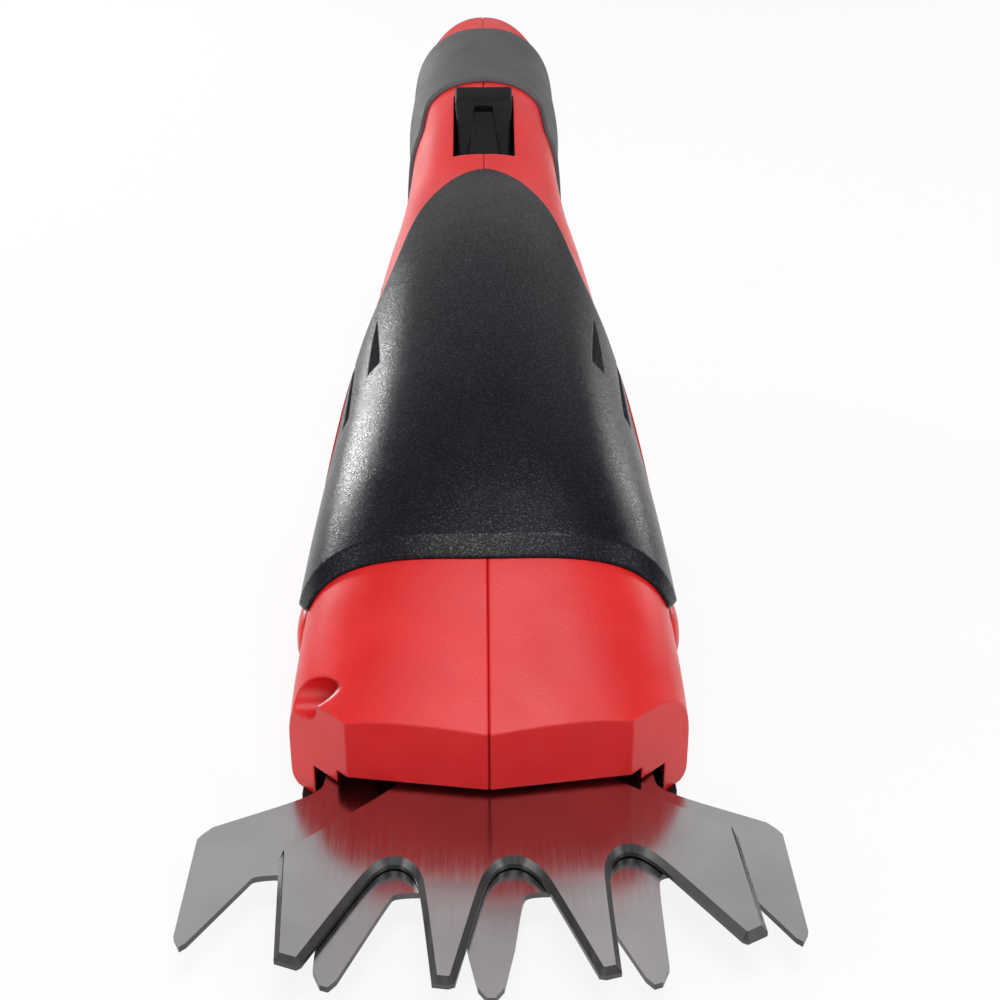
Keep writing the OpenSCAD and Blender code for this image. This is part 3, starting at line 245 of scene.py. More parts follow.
def shell_loft(name, rings, side=1):
    """Shell through rings that are an outer strip followed by the inner strip in reverse."""
    n, last = len(rings[0]), (len(rings) - 1) * len(rings[0])
    ends = []
    for i in range(n // 2 - 1):
        ends.append((i + 1, i, n - 1 - i, n - 2 - i))
        ends.append((last + i, last + i + 1, last + n - 2 - i, last + n - 1 - i))
    return loft(name, rings, ends, side)


def prism(name, outline, height, place=None, side=1):
    """An outline in a local XY plane, extruded along the local Z and put in place by a matrix."""
    place = place or Matrix.Identity(4)
    rings = [[tuple(place @ Vector((p[0], p[1], z))) for p in outline] for z in (0, height)]
    return solid_loft(name, rings, side)


def box_outline(x0, x1, y0, y1):
    return [(x0, y0), (x1, y0), (x1, y1), (x0, y1)]


def circle_outline(radius, sides=CIRCLE_SIDES):
    return [
        (radius * math.cos(2 * math.pi * i / sides), radius * math.sin(2 * math.pi * i / sides))
        for i in range(sides)
    ]


def shift(x=0, y=0, z=0):
    return Matrix.Translation((x, y, z))


# Local X and Y of an outline lie along Y and Z, and it is extruded along X
ALONG_X = Matrix(((0, 0, 1, 0), (1, 0, 0, 0), (0, 1, 0, 0), (0, 0, 0, 1)))
# Local X and Y of an outline lie along X and -Z, and it is extruded along Y
ALONG_Y = Matrix(((1, 0, 0, 0), (0, 0, 1, 0), (0, -1, 0, 0), (0, 0, 0, 1)))


def cut(obj, cutters):
    """Takes the cutters out of an object and removes them."""
    for cutter in cutters:
        modifier = obj.modifiers.new("cut", "BOOLEAN")
        modifier.operation = "DIFFERENCE"
        modifier.solver = "MANIFOLD"
        modifier.object = cutter
    bake(obj)
    for cutter in cutters:
        bpy.data.objects.remove(cutter)


def bake(obj):
    """Applies an object's modifiers."""
    bpy.context.view_layer.update()
    graph = bpy.context.evaluated_depsgraph_get()
    mesh = bpy.data.meshes.new_from_object(obj.evaluated_get(graph))
    obj.modifiers.clear()
    obj.data = mesh


def finish_piece(obj, body, slot, *nodes, angle):
    """Shades a piece, paints it with its slot's material and puts it in place of its nodes."""
    obj.data.shade_smooth()
    obj.data.set_sharp_from_angle(angle=math.radians(angle))
    obj.data.materials.clear()
    obj.data.materials.append(MATERIALS[slot])
    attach(obj, body)
    if nodes:
        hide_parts(*nodes)
    return obj


# Materials

# Features per metre of the cloudy colour, the patchy sheen and the glinting specks
PLASTIC_CLOUD = 60
PLASTIC_SHEEN = 150
SPECK_SCALE = 2300
SPECK_START, SPECK_END = 0.52, 0.66
METAL_CLOUD = 45
BRUSH_SCALE = (1700, 70, 70)
BRUSH_DEPTH = 5e-7
BRUSH_ROUGHNESS = 0.7
EDGE_SAMPLES = 6


def new_material(name):
    material = bpy.data.materials.new(name)
    material.use_nodes = True
    nodes = material.node_tree.nodes
    return material, nodes, material.node_tree.links, nodes["Principled BSDF"]


def noise(nodes, links, scale, detail=2.0, stretch=(1, 1, 1), rough=0.5):
    """Noise in the part's own frame. Scale is in features per metre."""
    place = nodes.new("ShaderNodeTexCoord")
    mapping = nodes.new("ShaderNodeMapping")
    mapping.inputs["Scale"].default_value = stretch
    texture = nodes.new("ShaderNodeTexNoise")
    texture.inputs["Scale"].default_value = scale
    texture.inputs["Detail"].default_value = detail
    texture.inputs["Roughness"].default_value = rough
    links.new(place.outputs["Object"], mapping.inputs["Vector"])
    links.new(mapping.outputs["Vector"], texture.inputs["Vector"])
    return texture.outputs["Fac"]


def ramp(nodes, links, source, low, high, start=0.35, end=0.65):
    """A colour ramp of two grey levels or colours."""
    node = nodes.new("ShaderNodeValToRGB")
    node.color_ramp.elements[0].position = start
    node.color_ramp.elements[1].position = end
    for element, value in zip(node.color_ramp.elements, (low, high)):
        colour = value if isinstance(value, tuple) else (value, value, value)
        element.color = (*colour, 1.0)
    links.new(source, node.inputs["Fac"])
    return node.outputs["Color"]


def bump(nodes, links, source, distance, normal=None):
    node = nodes.new("ShaderNodeBump")
    node.inputs["Strength"].default_value = 1.0
    node.inputs["Distance"].default_value = distance
    links.new(source, node.inputs["Height"])
    if normal is not None:
        links.new(normal, node.inputs["Normal"])
    return node.outputs["Normal"]


def round_edges(nodes, radius):
    node = nodes.new("ShaderNodeBevel")
    node.samples = EDGE_SAMPLES
    node.inputs["Radius"].default_value = radius
    return node.outputs["Normal"]


def plastic(name, dark, light, rough, grain, grain_depth, edge=0.0005, level=0.5, glint=None):
    """Moulded plastic: cloudy colour, fine grain, rounded edges and, if wanted, glinting specks."""
    material, nodes, links, shader = new_material(name)
    shader.inputs["Specular IOR Level"].default_value = level
    if glint:
        source = noise(nodes, links, SPECK_SCALE, detail=1)
        specks = ramp(nodes, links, source, level, glint, SPECK_START, SPECK_END)
        links.new(specks, shader.inputs["Specular IOR Level"])
    colour = ramp(nodes, links, noise(nodes, links, PLASTIC_CLOUD, detail=3), dark, light)
    links.new(colour, shader.inputs["Base Color"])
    spread = ramp(nodes, links, noise(nodes, links, PLASTIC_SHEEN, detail=4), rough[0], rough[1])
    links.new(spread, shader.inputs["Roughness"])
    grains = noise(nodes, links, grain, detail=2)
    fine = bump(nodes, links, grains, grain_depth, round_edges(nodes, edge))
    links.new(fine, shader.inputs["Normal"])
    return material


def leaning_normal(nodes, links, lean):
    """The surface's own direction, tipped back so that steel mirrors the nose behind it."""
    surface = nodes.new("ShaderNodeNewGeometry")
    tip = nodes.new("ShaderNodeVectorMath")
    tip.operation = "ADD"
    tip.inputs[1].default_value = (0, lean, 0)
    links.new(surface.outputs["Normal"], tip.inputs[0])
    unit = nodes.new("ShaderNodeVectorMath")
    unit.operation = "NORMALIZE"
    links.new(tip.outputs["Vector"], unit.inputs[0])
    return unit.outputs["Vector"]


def metal(name, dark, light, rough, metallic=1.0, lean=0.0):
    """Ground or drawn metal: fine lines along one direction and a cloudy colour."""
    material, nodes, links, shader = new_material(name)
    shader.inputs["Metallic"].default_value = metallic
    lines = noise(nodes, links, 1.0, detail=3, stretch=BRUSH_SCALE, rough=BRUSH_ROUGHNESS)
    colour = ramp(nodes, links, noise(nodes, links, METAL_CLOUD, detail=3), dark, light)
    links.new(colour, shader.inputs["Base Color"])
    spread = ramp(nodes, links, lines, rough[0], rough[1])
    links.new(spread, shader.inputs["Roughness"])
    base = leaning_normal(nodes, links, lean) if lean else None
    links.new(bump(nodes, links, lines, BRUSH_DEPTH, base), shader.inputs["Normal"])
    return material


MATERIALS = {
    "red_plastic": plastic(
        "red_plastic", (0.62, 0.009, 0.010), (0.68, 0.012, 0.013), rough=(0.32, 0.40),
        grain=2600, grain_depth=4e-5, edge=0.0007, level=0.42),
    "cover_plastic": plastic(
        "cover_plastic", (0.005, 0.005, 0.008), (0.007, 0.007, 0.011), rough=(0.23, 0.29),
        grain=2800, grain_depth=6e-5, edge=0.0004, level=0.13, glint=0.42),
    "black_plastic": plastic(
        "black_plastic", (0.004, 0.004, 0.006), (0.006, 0.006, 0.008), rough=(0.50, 0.62),
        grain=2500, grain_depth=2e-5, edge=0.0004, level=0.16),
    "grip_rubber": plastic(
        "grip_rubber", (0.064, 0.062, 0.066), (0.078, 0.076, 0.080), rough=(0.62, 0.75),
        grain=2600, grain_depth=5e-5, edge=0.0004),
    "blade_steel": metal(
        "blade_steel", (0.40, 0.385, 0.395), (0.47, 0.455, 0.465), rough=(0.15, 0.22), lean=0.11),
    "bright_steel": metal(
        "bright_steel", (0.50, 0.50, 0.52), (0.60, 0.60, 0.62), rough=(0.18, 0.32)),
    "plate_steel": metal(
        "plate_steel", (0.42, 0.43, 0.46), (0.54, 0.55, 0.58), rough=(0.28, 0.42)),
    "bronze": metal("bronze", (0.42, 0.26, 0.09), (0.56, 0.37, 0.14), rough=(0.35, 0.5)),
    "brass": metal("brass", (0.60, 0.43, 0.14), (0.72, 0.54, 0.22), rough=(0.2, 0.34)),
    "motor_iron": metal(
        "motor_iron", (0.18, 0.18, 0.19), (0.28, 0.28, 0.29), rough=(0.4, 0.6), metallic=0.8),
    "gear_plastic": plastic(
        "gear_plastic", (0.66, 0.62, 0.52), (0.78, 0.74, 0.64), rough=(0.4, 0.5),
        grain=1800, grain_depth=2e-5),
    "cell_wrap": plastic(
        "cell_wrap", (0.03, 0.22, 0.10), (0.05, 0.30, 0.14), rough=(0.2, 0.3),
        grain=600, grain_depth=2e-5),
    "board": plastic(
        "board", (0.015, 0.14, 0.045), (0.025, 0.20, 0.07), rough=(0.3, 0.45),
        grain=900, grain_depth=2e-5),
}
# Painted shade: the blades' walls and bevels are the same steel as their faces, darkened here to
# stand in for their shade
BLADE_EDGE_SHADE = metal(
    "blade_edge_painted_shade", (0.085, 0.083, 0.085), (0.12, 0.118, 0.12), rough=(0.30, 0.42))


def paint_nodes():
    """Gives every part of the record the material of its slot."""
    for part in frame["record"]["subparts"]:
        mesh = frame["nodes"][part["node"]].data
        mesh.materials.clear()
        mesh.materials.append(MATERIALS[part["material_slot"]])


# Places on the body

NOSE_RAKE = 4.4
FACET_START = 27.4
FACET_DEPTH = 12.5
NOSE_WALL = 5.0
NOSE_SOLID_SHARE = 0.078
END_WALL = 5.0
SOLE_THICKNESS = 2.6
SOLE_STEP_HEIGHT = 1.2
SOLE_END_SHARE = 0.447
MOUTH_WIDTH = 69.2
MOUTH_HEIGHT = 11.0
MOUTH_STEP = 2.1
MOUTH_SIDE_HEIGHT = 8.4
RECESS_RADIUS = 4.0
RECESS_DEPTH = 9.0
NOSE_RECESS_FLOOR = 25.8

LOCK_SHARE = 0.686
LOCK_PROBE_SHARE = 0.05
LOCK_WIDTH = 17.2
LOCK_LENGTH = 34.0
LOCK_RISE = 2.0
LOCK_PLAY = 0.4
LOCK_TRAVEL = 5.0
TONGUE_LENGTH = 9.0
TRAY_DEPTH = 7.6
TRAY_WALL = 1.5

TRIGGER_SHARE = 0.624
TRIGGER_PROBE_SHARE = 0.12
TRIGGER_INSET = 4.5
TRIGGER_WIDTH = 11.0
TRIGGER_LENGTH = 37.0
TRIGGER_DROP = 12.5
TRIGGER_PLAY = 0.5
TRIGGER_EYE = 3.4
TRIGGER_BACK = 2.4
TRIGGER_PIN_HOLE = 1.55

BUTTON_SHARE = 0.1617
BUTTON_Z = 0.182 * BODY_HEIGHT
BUTTON_LENGTH = 20.0
BUTTON_HEIGHT = 12.0
BUTTON_RISE = 2.2
BUTTON_PLAY = 0.3
BUTTON_DEPTH = 5.4
BUTTON_POWER = 0.8

VENT_HEIGHT = 2.8
VENT_LENGTH = 32.0
VENT_SLANT = 1.2
VENT_STEPS = 10
VENT_PINCH_POWER = 1.6
VENT_CLIMB_SHARE = 0.19
VENT_CLEAR = 1.2

CELL_SHARE = 0.730
CELL_LENGTH = 65.0
JACK_BODY_RADIUS = 4.0


def tilted(y, z, slope):
    """A frame on the middle plane, tipped up along the body."""
    return shift(y=y, z=z) @ Matrix.Rotation(slope, 4, "X")


def lock_frame():
    rise = top_z(LOCK_SHARE + LOCK_PROBE_SHARE) - top_z(LOCK_SHARE - LOCK_PROBE_SHARE)
    slope = math.atan2(rise, 2 * LOCK_PROBE_SHARE * BODY_LENGTH)
    return tilted(at(LOCK_SHARE), top_z(LOCK_SHARE), slope)


def trigger_frame():
    rise = bottom_z(TRIGGER_SHARE + TRIGGER_PROBE_SHARE) - bottom_z(TRIGGER_SHARE)
    slope = math.atan2(rise, TRIGGER_PROBE_SHARE * BODY_LENGTH)
    return tilted(at(TRIGGER_SHARE), bottom_z(TRIGGER_SHARE) + TRIGGER_INSET, slope)


def cell_frame():
    end_share = CELL_SHARE + CELL_LENGTH / BODY_LENGTH
    z = (top_z(CELL_SHARE) + bottom_z(CELL_SHARE)) / 2
    end_z = (top_z(end_share) + bottom_z(end_share)) / 2
    return tilted(at(CELL_SHARE), z, math.atan2(end_z - z, CELL_LENGTH))


def shares_between(start, end, rows):
    """Even steps from a start to an end, with both ends."""
    return [start + (end - start) * r / rows for r in range(rows + 1)]


def button_outline(grow):
    """The release button's rounded outline, along the body and up."""
    return [
        ((BUTTON_LENGTH / 2 + grow) * math.copysign(abs(c) ** BUTTON_POWER, c),
         (BUTTON_HEIGHT / 2 + grow) * math.copysign(abs(s) ** BUTTON_POWER, s))
        for c, s in circle_outline(1, FINE_CIRCLE_SIDES)
    ]


# Housing

BARREL_END_SHARE = 0.9
BARREL_ROWS = 130
END_ROWS = 40
CAVITY_ROWS = 60
HOUSING_STEPS = 72
CAVITY_STEPS = 36


def half_rings(shares, grow, steps, gap, groove=0.0):
    """Rings round the half of the body on the +X side, with a groove at the parting if wanted."""
    rings = []
    for share in shares:
        here = section(share)
        ring = [skin(here, -90 + 180 * i / steps, grow) for i in range(steps + 1)]
        ring = [(max(p[0], gap), p[1], p[2]) for p in ring]
        if groove:
            (_, y, low), (_, _, high) = ring[0], ring[-1]
            start = [(gap, y, low + groove), (GROOVE_HALF, y, low)]
            ring = start + ring[1:-1] + [(GROOVE_HALF, y, high), (gap, y, high - groove)]
        rings.append(ring)
    return rings


def vent_cutters(side, grow=0.0):
    """Vent slits: blunt in front and pinched to a point behind."""
    cutters = []
    for share, level, length_share in VENT_SHARES:
        reach = VENT_LENGTH * length_share
        climb = reach * VENT_CLIMB_SHARE
        below, above = [], []
        for t in shares_between(0, 1, VENT_STEPS):
            pinch = VENT_HEIGHT / 2 * t**VENT_PINCH_POWER
            below.append((reach * t, climb * t + pinch - grow))
            crest = climb * t + VENT_HEIGHT - pinch + grow
            above.append((VENT_SLANT + (reach - VENT_SLANT) * t, crest))
        outline = [(-grow, -grow)] + below[1:-1] + [(reach + grow, climb + VENT_HEIGHT / 2)]
        outline += above[-2::-1] + ([(-grow, VENT_HEIGHT + grow)] if grow else [])
        place = shift(y=at(share), z=level * BODY_HEIGHT) @ ALONG_X
        cutters.append(prism("vent", outline, HEAD_WIDTH, place, side))
    return cutters


def nose_cutter(side):
    """Takes off what lies ahead of the nose's front and corner facets."""
    far = HEAD_WIDTH / 2 + OVERRUN
    corner = FACET_DEPTH / (HEAD_WIDTH / 2 - FACET_START)
    outline = [
        (-OVERRUN, 0), (far, 0), (far, BLADE_REACH + NOSE_RAKE + corner * (far - FACET_START)),
        (FACET_START, BLADE_REACH + NOSE_RAKE), (0, BLADE_REACH), (-OVERRUN, BLADE_REACH),
    ]
    return prism("nose", outline, BODY_HEIGHT, shift(z=-OVERRUN), side)


def recess_cutter(place_shares, floor_x, side):
    share, level = place_shares
    place = shift(floor_x, at(share), level * BODY_HEIGHT) @ ALONG_X
    outline = circle_outline(RECESS_RADIUS, FINE_CIRCLE_SIDES)
    return prism("recess", outline, HEAD_WIDTH, place, side)


def front_cutters(side):
    """What the nose and the underside lack: facets, groove, pocket, room for the sole, mouth."""
    pocket_front = BLADE_REACH + NOSE_RAKE + NOSE_WALL
    front_share = (pocket_front - BLADE_REACH) / BODY_LENGTH
    back = at(NOSE_SOLID_SHARE) + OVERRUN
    pocket = [
        (pocket_front, 0), (back, 0), (back, top_z(NOSE_SOLID_SHARE) - 2 * HOUSING_WALL),
        (pocket_front, top_z(front_share) - 2 * HOUSING_WALL),
    ]
    groove = box_outline(-OVERRUN, GROOVE_HALF, 0, BLADE_REACH + GROOVE_DEPTH)
    under_feet = box_outline(-OVERRUN, HEAD_WIDTH, 0, back)
    underside = box_outline(-OVERRUN, HEAD_WIDTH, at(NOSE_SOLID_SHARE), at(SOLE_END_SHARE))
    mouth = box_outline(-OVERRUN, FACET_START + MOUTH_STEP, 0, back)
    mouth_side = box_outline(-OVERRUN, MOUTH_WIDTH / 2, 0, back)
    below = shift(z=-OVERRUN)
    return [
        nose_cutter(side),
        prism("groove", groove, BODY_HEIGHT, None, side),
        prism("pocket", pocket, FACET_START - NOSE_WALL, ALONG_X, side),
        prism("under_feet", under_feet, SOLE_STEP_HEIGHT + OVERRUN, below, side),
        prism("underside", underside, SOLE_THICKNESS + OVERRUN, below, side),
        prism("mouth", mouth, MOUTH_HEIGHT, None, side),
        prism("mouth_side", mouth_side, MOUTH_SIDE_HEIGHT, None, side),
    ]


def lock_cutter(depth, height, side):
    """Room for the lock slider, from a depth below the top of the handle."""
    outline = box_outline(-OVERRUN, LOCK_WIDTH / 2, -LOCK_LENGTH / 2, LOCK_LENGTH / 2)
    return prism("lock", outline, height, lock_frame() @ shift(z=-depth), side)


def control_cutters(side):
    """Room for the lock slider, the trigger, a release button and the charging jack."""
    finger = box_outline(
        -OVERRUN, TRIGGER_WIDTH / 2 + TRIGGER_PLAY,
        -TRIGGER_EYE - TRIGGER_PLAY, TRIGGER_LENGTH + 2 * TRIGGER_PLAY)
    finger_place = trigger_frame() @ shift(z=-2 * TRIGGER_DROP)
    button_place = shift(y=at(BUTTON_SHARE), z=BUTTON_Z) @ ALONG_X
    jack_place = cell_frame() @ ALONG_Y
    return [
        lock_cutter(TRAY_DEPTH + TRAY_WALL, 3 * TRAY_DEPTH, side),
        prism("trigger", finger, 2 * TRIGGER_DROP, finger_place, side),
        prism("button", button_outline(BUTTON_PLAY), HEAD_WIDTH, button_place, side),
        prism("jack", circle_outline(JACK_BODY_RADIUS), 2 * CELL_LENGTH, jack_place, side),
    ]


def screw_cutters(side):
    """Screw recesses, which only the half on the -X side has."""
    if side > 0:
        return []
    recesses = [recess_cutter(NOSE_SCREW_SHARES, NOSE_RECESS_FLOOR, side)]
    for place in SCREW_SHARES:
        floor_x = side_x(place[0], place[1] * BODY_HEIGHT) - RECESS_DEPTH
        recesses.append(recess_cutter(place, floor_x, side))
    return recesses


def housing_half(name, side):
    shares = shares_between(0, BARREL_END_SHARE, BARREL_ROWS)
    shares += shares_between(BARREL_END_SHARE, 1, END_ROWS)[1:]
    outer = half_rings(shares, 0, HOUSING_STEPS, PARTING_GAP / 2, GROOVE_DEPTH)
    half = solid_loft(name, outer, side)
    shares = shares_between(NOSE_SOLID_SHARE, 1 - END_WALL / BODY_LENGTH, CAVITY_ROWS)
    inner = half_rings(shares, -HOUSING_WALL, CAVITY_STEPS, -OVERRUN)
    cutters = [solid_loft("cavity", inner, side)]
    cutters += front_cutters(side) + control_cutters(side)
    cutters += vent_cutters(side, VENT_CLEAR) + screw_cutters(side)
    cut(half, cutters)
    return finish_piece(half, "body", "red_plastic", name, angle=24)


# Ledge of the housing under the cover's lower edge

LEDGE_START_SHARE = 0.19
LEDGE_END_SHARE = 0.40
LEDGE_ROWS = 60
LEDGE_STEPS = 8
LEDGE_TURN = 13.0
LEDGE_TUCK = 0.4
LEDGE_PROUD = 2.25
LEDGE_END_PROUD = 0.05
LEDGE_END_POWER = 0.5
LEDGE_FALL_POWER = 0.8


def cover_ledge(name, side):
    """A ledge that stands out most at its middle and runs out to nothing below."""
    rings = []
    for share in shares_between(LEDGE_START_SHARE, LEDGE_END_SHARE, LEDGE_ROWS):
        here = section(share)
        edge = 90 * curve(COVER_EDGE_SHARES, share, 1) - LEDGE_TUCK
        along = (share - LEDGE_START_SHARE) / (LEDGE_END_SHARE - LEDGE_START_SHARE)
        proud = LEDGE_END_PROUD + LEDGE_PROUD * math.sin(math.pi * along) ** LEDGE_END_POWER
        outer, inner = [], []
        for k in range(LEDGE_STEPS + 1):
            turn = edge - LEDGE_TURN * k / LEDGE_STEPS
            outer.append(skin(here, turn, proud * (1 - k / LEDGE_STEPS) ** LEDGE_FALL_POWER))
            inner.append(skin(here, turn, -HOUSING_WALL / 2))
        rings.append(outer + inner[::-1])
    return finish_piece(shell_loft(name, rings, side), "body", "red_plastic", angle=35)


# Release buttons

BUTTON_RINGS = 15


def release_button(name, body, node, side):
    """A domed lobe that stands out of the housing's side."""
    outline = button_outline(0)
    rings = []
    for k in range(BUTTON_RINGS, 0, -1):
        reach = math.sin(math.radians(90 / BUTTON_RINGS * k))
        ring = []
        for dy, dz in outline:
            y, z = at(BUTTON_SHARE) + reach * dy, BUTTON_Z + reach * dz
            surface = side_x((y - BLADE_REACH) / BODY_LENGTH, z)
            ring.append((surface + BUTTON_RISE * math.sqrt(max(0.0, 1 - reach**2)), y, z))
        rings.append(ring)
    back = [(p[0] - BUTTON_DEPTH, p[1], p[2]) for p in rings[0]]
    button = solid_loft(name, [back] + rings, side)
    return finish_piece(button, body, "red_plastic", node, angle=40)


# Lock slider

SLIDER_EASE = 0.5
TONGUE_INSET = 1.0
TONGUE_SHARE = 0.80
RAMP_SHARE = 0.44
WEDGE_SHARE = 0.27
WEDGE_SLOPE = 1.3
WEDGE_FLOOR = 1.0
SLIDER_POCKET_Z = -3.6
SLIDER_POCKET_FRONT, SLIDER_POCKET_BACK = 2.9, 2.5


def slider_loft(name, rings):
    """Solid through rings that are given across the slider and up, each with its place along it."""
    place = lock_frame()
    return solid_loft(name, [
        [tuple(place @ Vector((x, y, z))) for x, z in ring] for y, ring in rings
    ])


def lock_slider():
    """The thumb slider: a pad, a ramp down to its front, and a wedge with a pocket behind it."""
    half, back = LOCK_WIDTH / 2 - LOCK_PLAY, LOCK_LENGTH / 2 - LOCK_PLAY
    front = -LOCK_LENGTH / 2 - TONGUE_LENGTH + LOCK_TRAVEL
    floor_z = -TRAY_DEPTH + LOCK_PLAY
    sheet = floor_z + TRAY_WALL
    # Place along the slider, half width and height
    stations = [
        (front, half - TONGUE_INSET, sheet), (-TONGUE_SHARE * back, half - TONGUE_INSET, sheet),
        (0.0, half - 0.6, -1.9), (RAMP_SHARE * back, half - 0.2, 0.9),
        (0.50 * back, half, LOCK_RISE - 0.3), (0.56 * back, half, LOCK_RISE),
        (back - SLIDER_EASE, half, LOCK_RISE), (back, half, LOCK_RISE - SLIDER_EASE),
    ]
    rings = []
    for y, width, top in stations:
        rings.append((y, [
            (-width, floor_z), (width, floor_z), (width, top - SLIDER_EASE),
            (width - SLIDER_EASE, top), (SLIDER_EASE - width, top), (-width, top - SLIDER_EASE)]))
    slider = slider_loft("slider", rings)
    pocket = [
        (-SLIDER_POCKET_FRONT, WEDGE_SHARE * back), (SLIDER_POCKET_FRONT, WEDGE_SHARE * back),
        (SLIDER_POCKET_BACK, RAMP_SHARE * back), (-SLIDER_POCKET_BACK, RAMP_SHARE * back),
    ]
    cut(slider, [prism("pocket", pocket, TRAY_DEPTH, lock_frame() @ shift(z=SLIDER_POCKET_Z))])
    finish_piece(slider, "lock", "black_plastic", "lock_slider", angle=25)
    # Place along the slider, half widths of the crest and of the foot, and height
    wedge_rows = [
        (WEDGE_SHARE * back, 2.5, 3.1, 0.55), (0.10 * back, 2.7, 3.5, -0.35),
        (-0.3 * back, 3.5, 4.4, -2.4), (-0.62 * back, 4.3, 5.2, -4.2),
        (-TONGUE_SHARE * back, 4.7, 5.5, -5.2),
    ]
    rings = []
    for y, crest, foot, top in wedge_rows:
        rings.append((y, [
            (-foot, floor_z + WEDGE_FLOOR), (foot, floor_z + WEDGE_FLOOR),
            (foot, top - WEDGE_SLOPE), (crest, top), (-crest, top), (-foot, top - WEDGE_SLOPE)]))
    wedge = slider_loft("slider_wedge", rings)
    return finish_piece(wedge, "lock", "black_plastic", angle=25)


# Trigger

# The finger side behind the hinge eye: shares of the length and of the drop
TRIGGER_SHARES = [(0.10, 0.80), (0.25, 0.94), (0.55, 1.00), (0.85, 0.93), (1.00, 0.70)]
TRIGGER_HEEL_SHARE = 0.9
TRIGGER_STEPS = 40
TRIGGER_ROUND = 2.0
TRIGGER_ROUND_STEPS = 5
TRIGGER_ROUND_ANGLE = 60


def trigger():
    """A rounded finger trigger on its hinge eye."""
    length, drop, half = TRIGGER_LENGTH, TRIGGER_DROP, TRIGGER_WIDTH / 2
    table = [(0.0, -TRIGGER_EYE)] + [(y * length, -z * drop) for y, z in TRIGGER_SHARES]
    below = [(y, curve(table, y, 1)) for y in shares_between(0, length, TRIGGER_STEPS)]
    above = [
        (length, 0.0), (TRIGGER_HEEL_SHARE * length, TRIGGER_BACK), (0, TRIGGER_BACK),
        (-TRIGGER_EYE, 0),
    ]
    profile = [(y, max(z, -drop)) for y, z in below] + above
    place = trigger_frame()
    piece = prism("trigger_rounded", profile, 2 * half, place @ shift(x=-half) @ ALONG_X)
    rounding = piece.modifiers.new("rounding", "BEVEL")
    rounding.width = TRIGGER_ROUND * MM
    rounding.segments = TRIGGER_ROUND_STEPS
    rounding.limit_method = "ANGLE"
    rounding.angle_limit = math.radians(TRIGGER_ROUND_ANGLE)
    bake(piece)
    slot = box_outline(-half / 2, half / 2, -2 * TRIGGER_EYE, TRIGGER_EYE + TRIGGER_PLAY)
    pin_place = place @ shift(x=-TRIGGER_WIDTH) @ ALONG_X
    cut(piece, [
        prism("pin", circle_outline(TRIGGER_PIN_HOLE), 2 * TRIGGER_WIDTH, pin_place),
        prism("slot", slot, 3 * TRIGGER_EYE, place @ shift(z=-TRIGGER_EYE)),
    ])
    return finish_piece(piece, "trigger", "black_plastic", "trigger", angle=30)


# Cover

COVER_WALL = 1.9
COVER_GAP = 0.12
COVER_STEPS = 96
LIP_DEPTH = 3.6
LIP_TIP_RISE = 1 / 3
LIP_TOP, LIP_LOW = 0.985, 0.24
LIP_ROWS = 48
LIP_STRIDE = 6
SHOULDER_SHARE, SHOULDER_ROWS = 0.145, 12
FLANK_SHARE, FLANK_ROWS = 0.54, 80
TAIL_ROWS = 48
EDGE_ROUND = 0.7
# Distances from the cover's rim at which its rounded edge is drawn, and the largest share of the
# cover's span that they take up
COVER_RIM = [0, 0.08, 0.2, 0.38, 0.7]
RIM_SPAN_SHARE = 0.1


def edge_drop(distance, radius):
    """How far a rounded edge falls below the surface at a distance from its rim."""
    if distance >= radius:
        return 0.0
    return radius - math.sqrt(radius**2 - (radius - distance) ** 2)


def lip_at(turn):
    """Place of the lip along the body, further back towards the sides."""
    return LIP_SHARE + LIP_BOW_SHARE * abs(math.cos(math.radians(turn))) ** LIP_BOW_POWER


def cover_rise(share, turn):
    """Thickness of the cover, which thins towards its lip."""
    behind = (share - lip_at(turn)) * BODY_LENGTH
    return COVER_WALL * min(1.0, LIP_TIP_RISE + (1 - LIP_TIP_RISE) * behind / LIP_DEPTH)


def cover_rows():
    """Places along the body and the height of the cover's edge up the side, from lip to tip."""
    lip = [(lip_at(90 * f), f) for f in shares_between(LIP_TOP, LIP_LOW, LIP_ROWS)]
    table = lip[::LIP_STRIDE] + COVER_EDGE_SHARES
    rear = shares_between(lip[-1][0], SHOULDER_SHARE, SHOULDER_ROWS)[1:]
    rear += shares_between(SHOULDER_SHARE, FLANK_SHARE, FLANK_ROWS)[1:]
    rear += shares_between(FLANK_SHARE, COVER_EDGE_SHARES[-1][0], TAIL_ROWS)[1:]
    return lip + [(share, curve(table, share, 1)) for share in rear]


def top_cover():
    last = len(COVER_RIM) - 1
    rings = []
    for share, height in cover_rows():
        here = section(share)
        edge = 90 * height
        arc = math.radians(math.sqrt(here["half"] * here["up"]))
        span = 180 - 2 * edge
        near = [min(d / arc, RIM_SPAN_SHARE * span * k / last) for k, d in enumerate(COVER_RIM)]
        wide = span - 2 * near[-1]
        middle = [near[-1] + wide * i / COVER_STEPS for i in range(1, COVER_STEPS)]
        turns = [edge + o for o in near + middle + [span - d for d in reversed(near)]]
        outer, inner = [], []
        for turn in turns:
            rise = cover_rise(share, turn)
            inset = min(turn - edge, edge + span - turn) * arc
            drop = edge_drop(inset, min(EDGE_ROUND, rise))
            outer.append(skin(here, turn, COVER_GAP + rise - drop))
            inner.append(skin(here, turn, COVER_GAP))
        rings.append(outer + inner[::-1])
    cover = shell_loft("cover", rings)
    cut(cover, vent_cutters(1) + vent_cutters(-1))
    return finish_piece(cover, "body", "cover_plastic", "top_cover", angle=28)


# Grip

GRIP_GAP = 0.08
GRIP_THICKNESS = 1.1
GRIP_ROWS = 50
GRIP_STEPS = 120
GRIP_CORNER_EASE = 0.025
# Distances from the grip's ends at which its rounded edge is drawn
GRIP_RIM = [0, 0.1, 0.25, 0.5, 0.9]


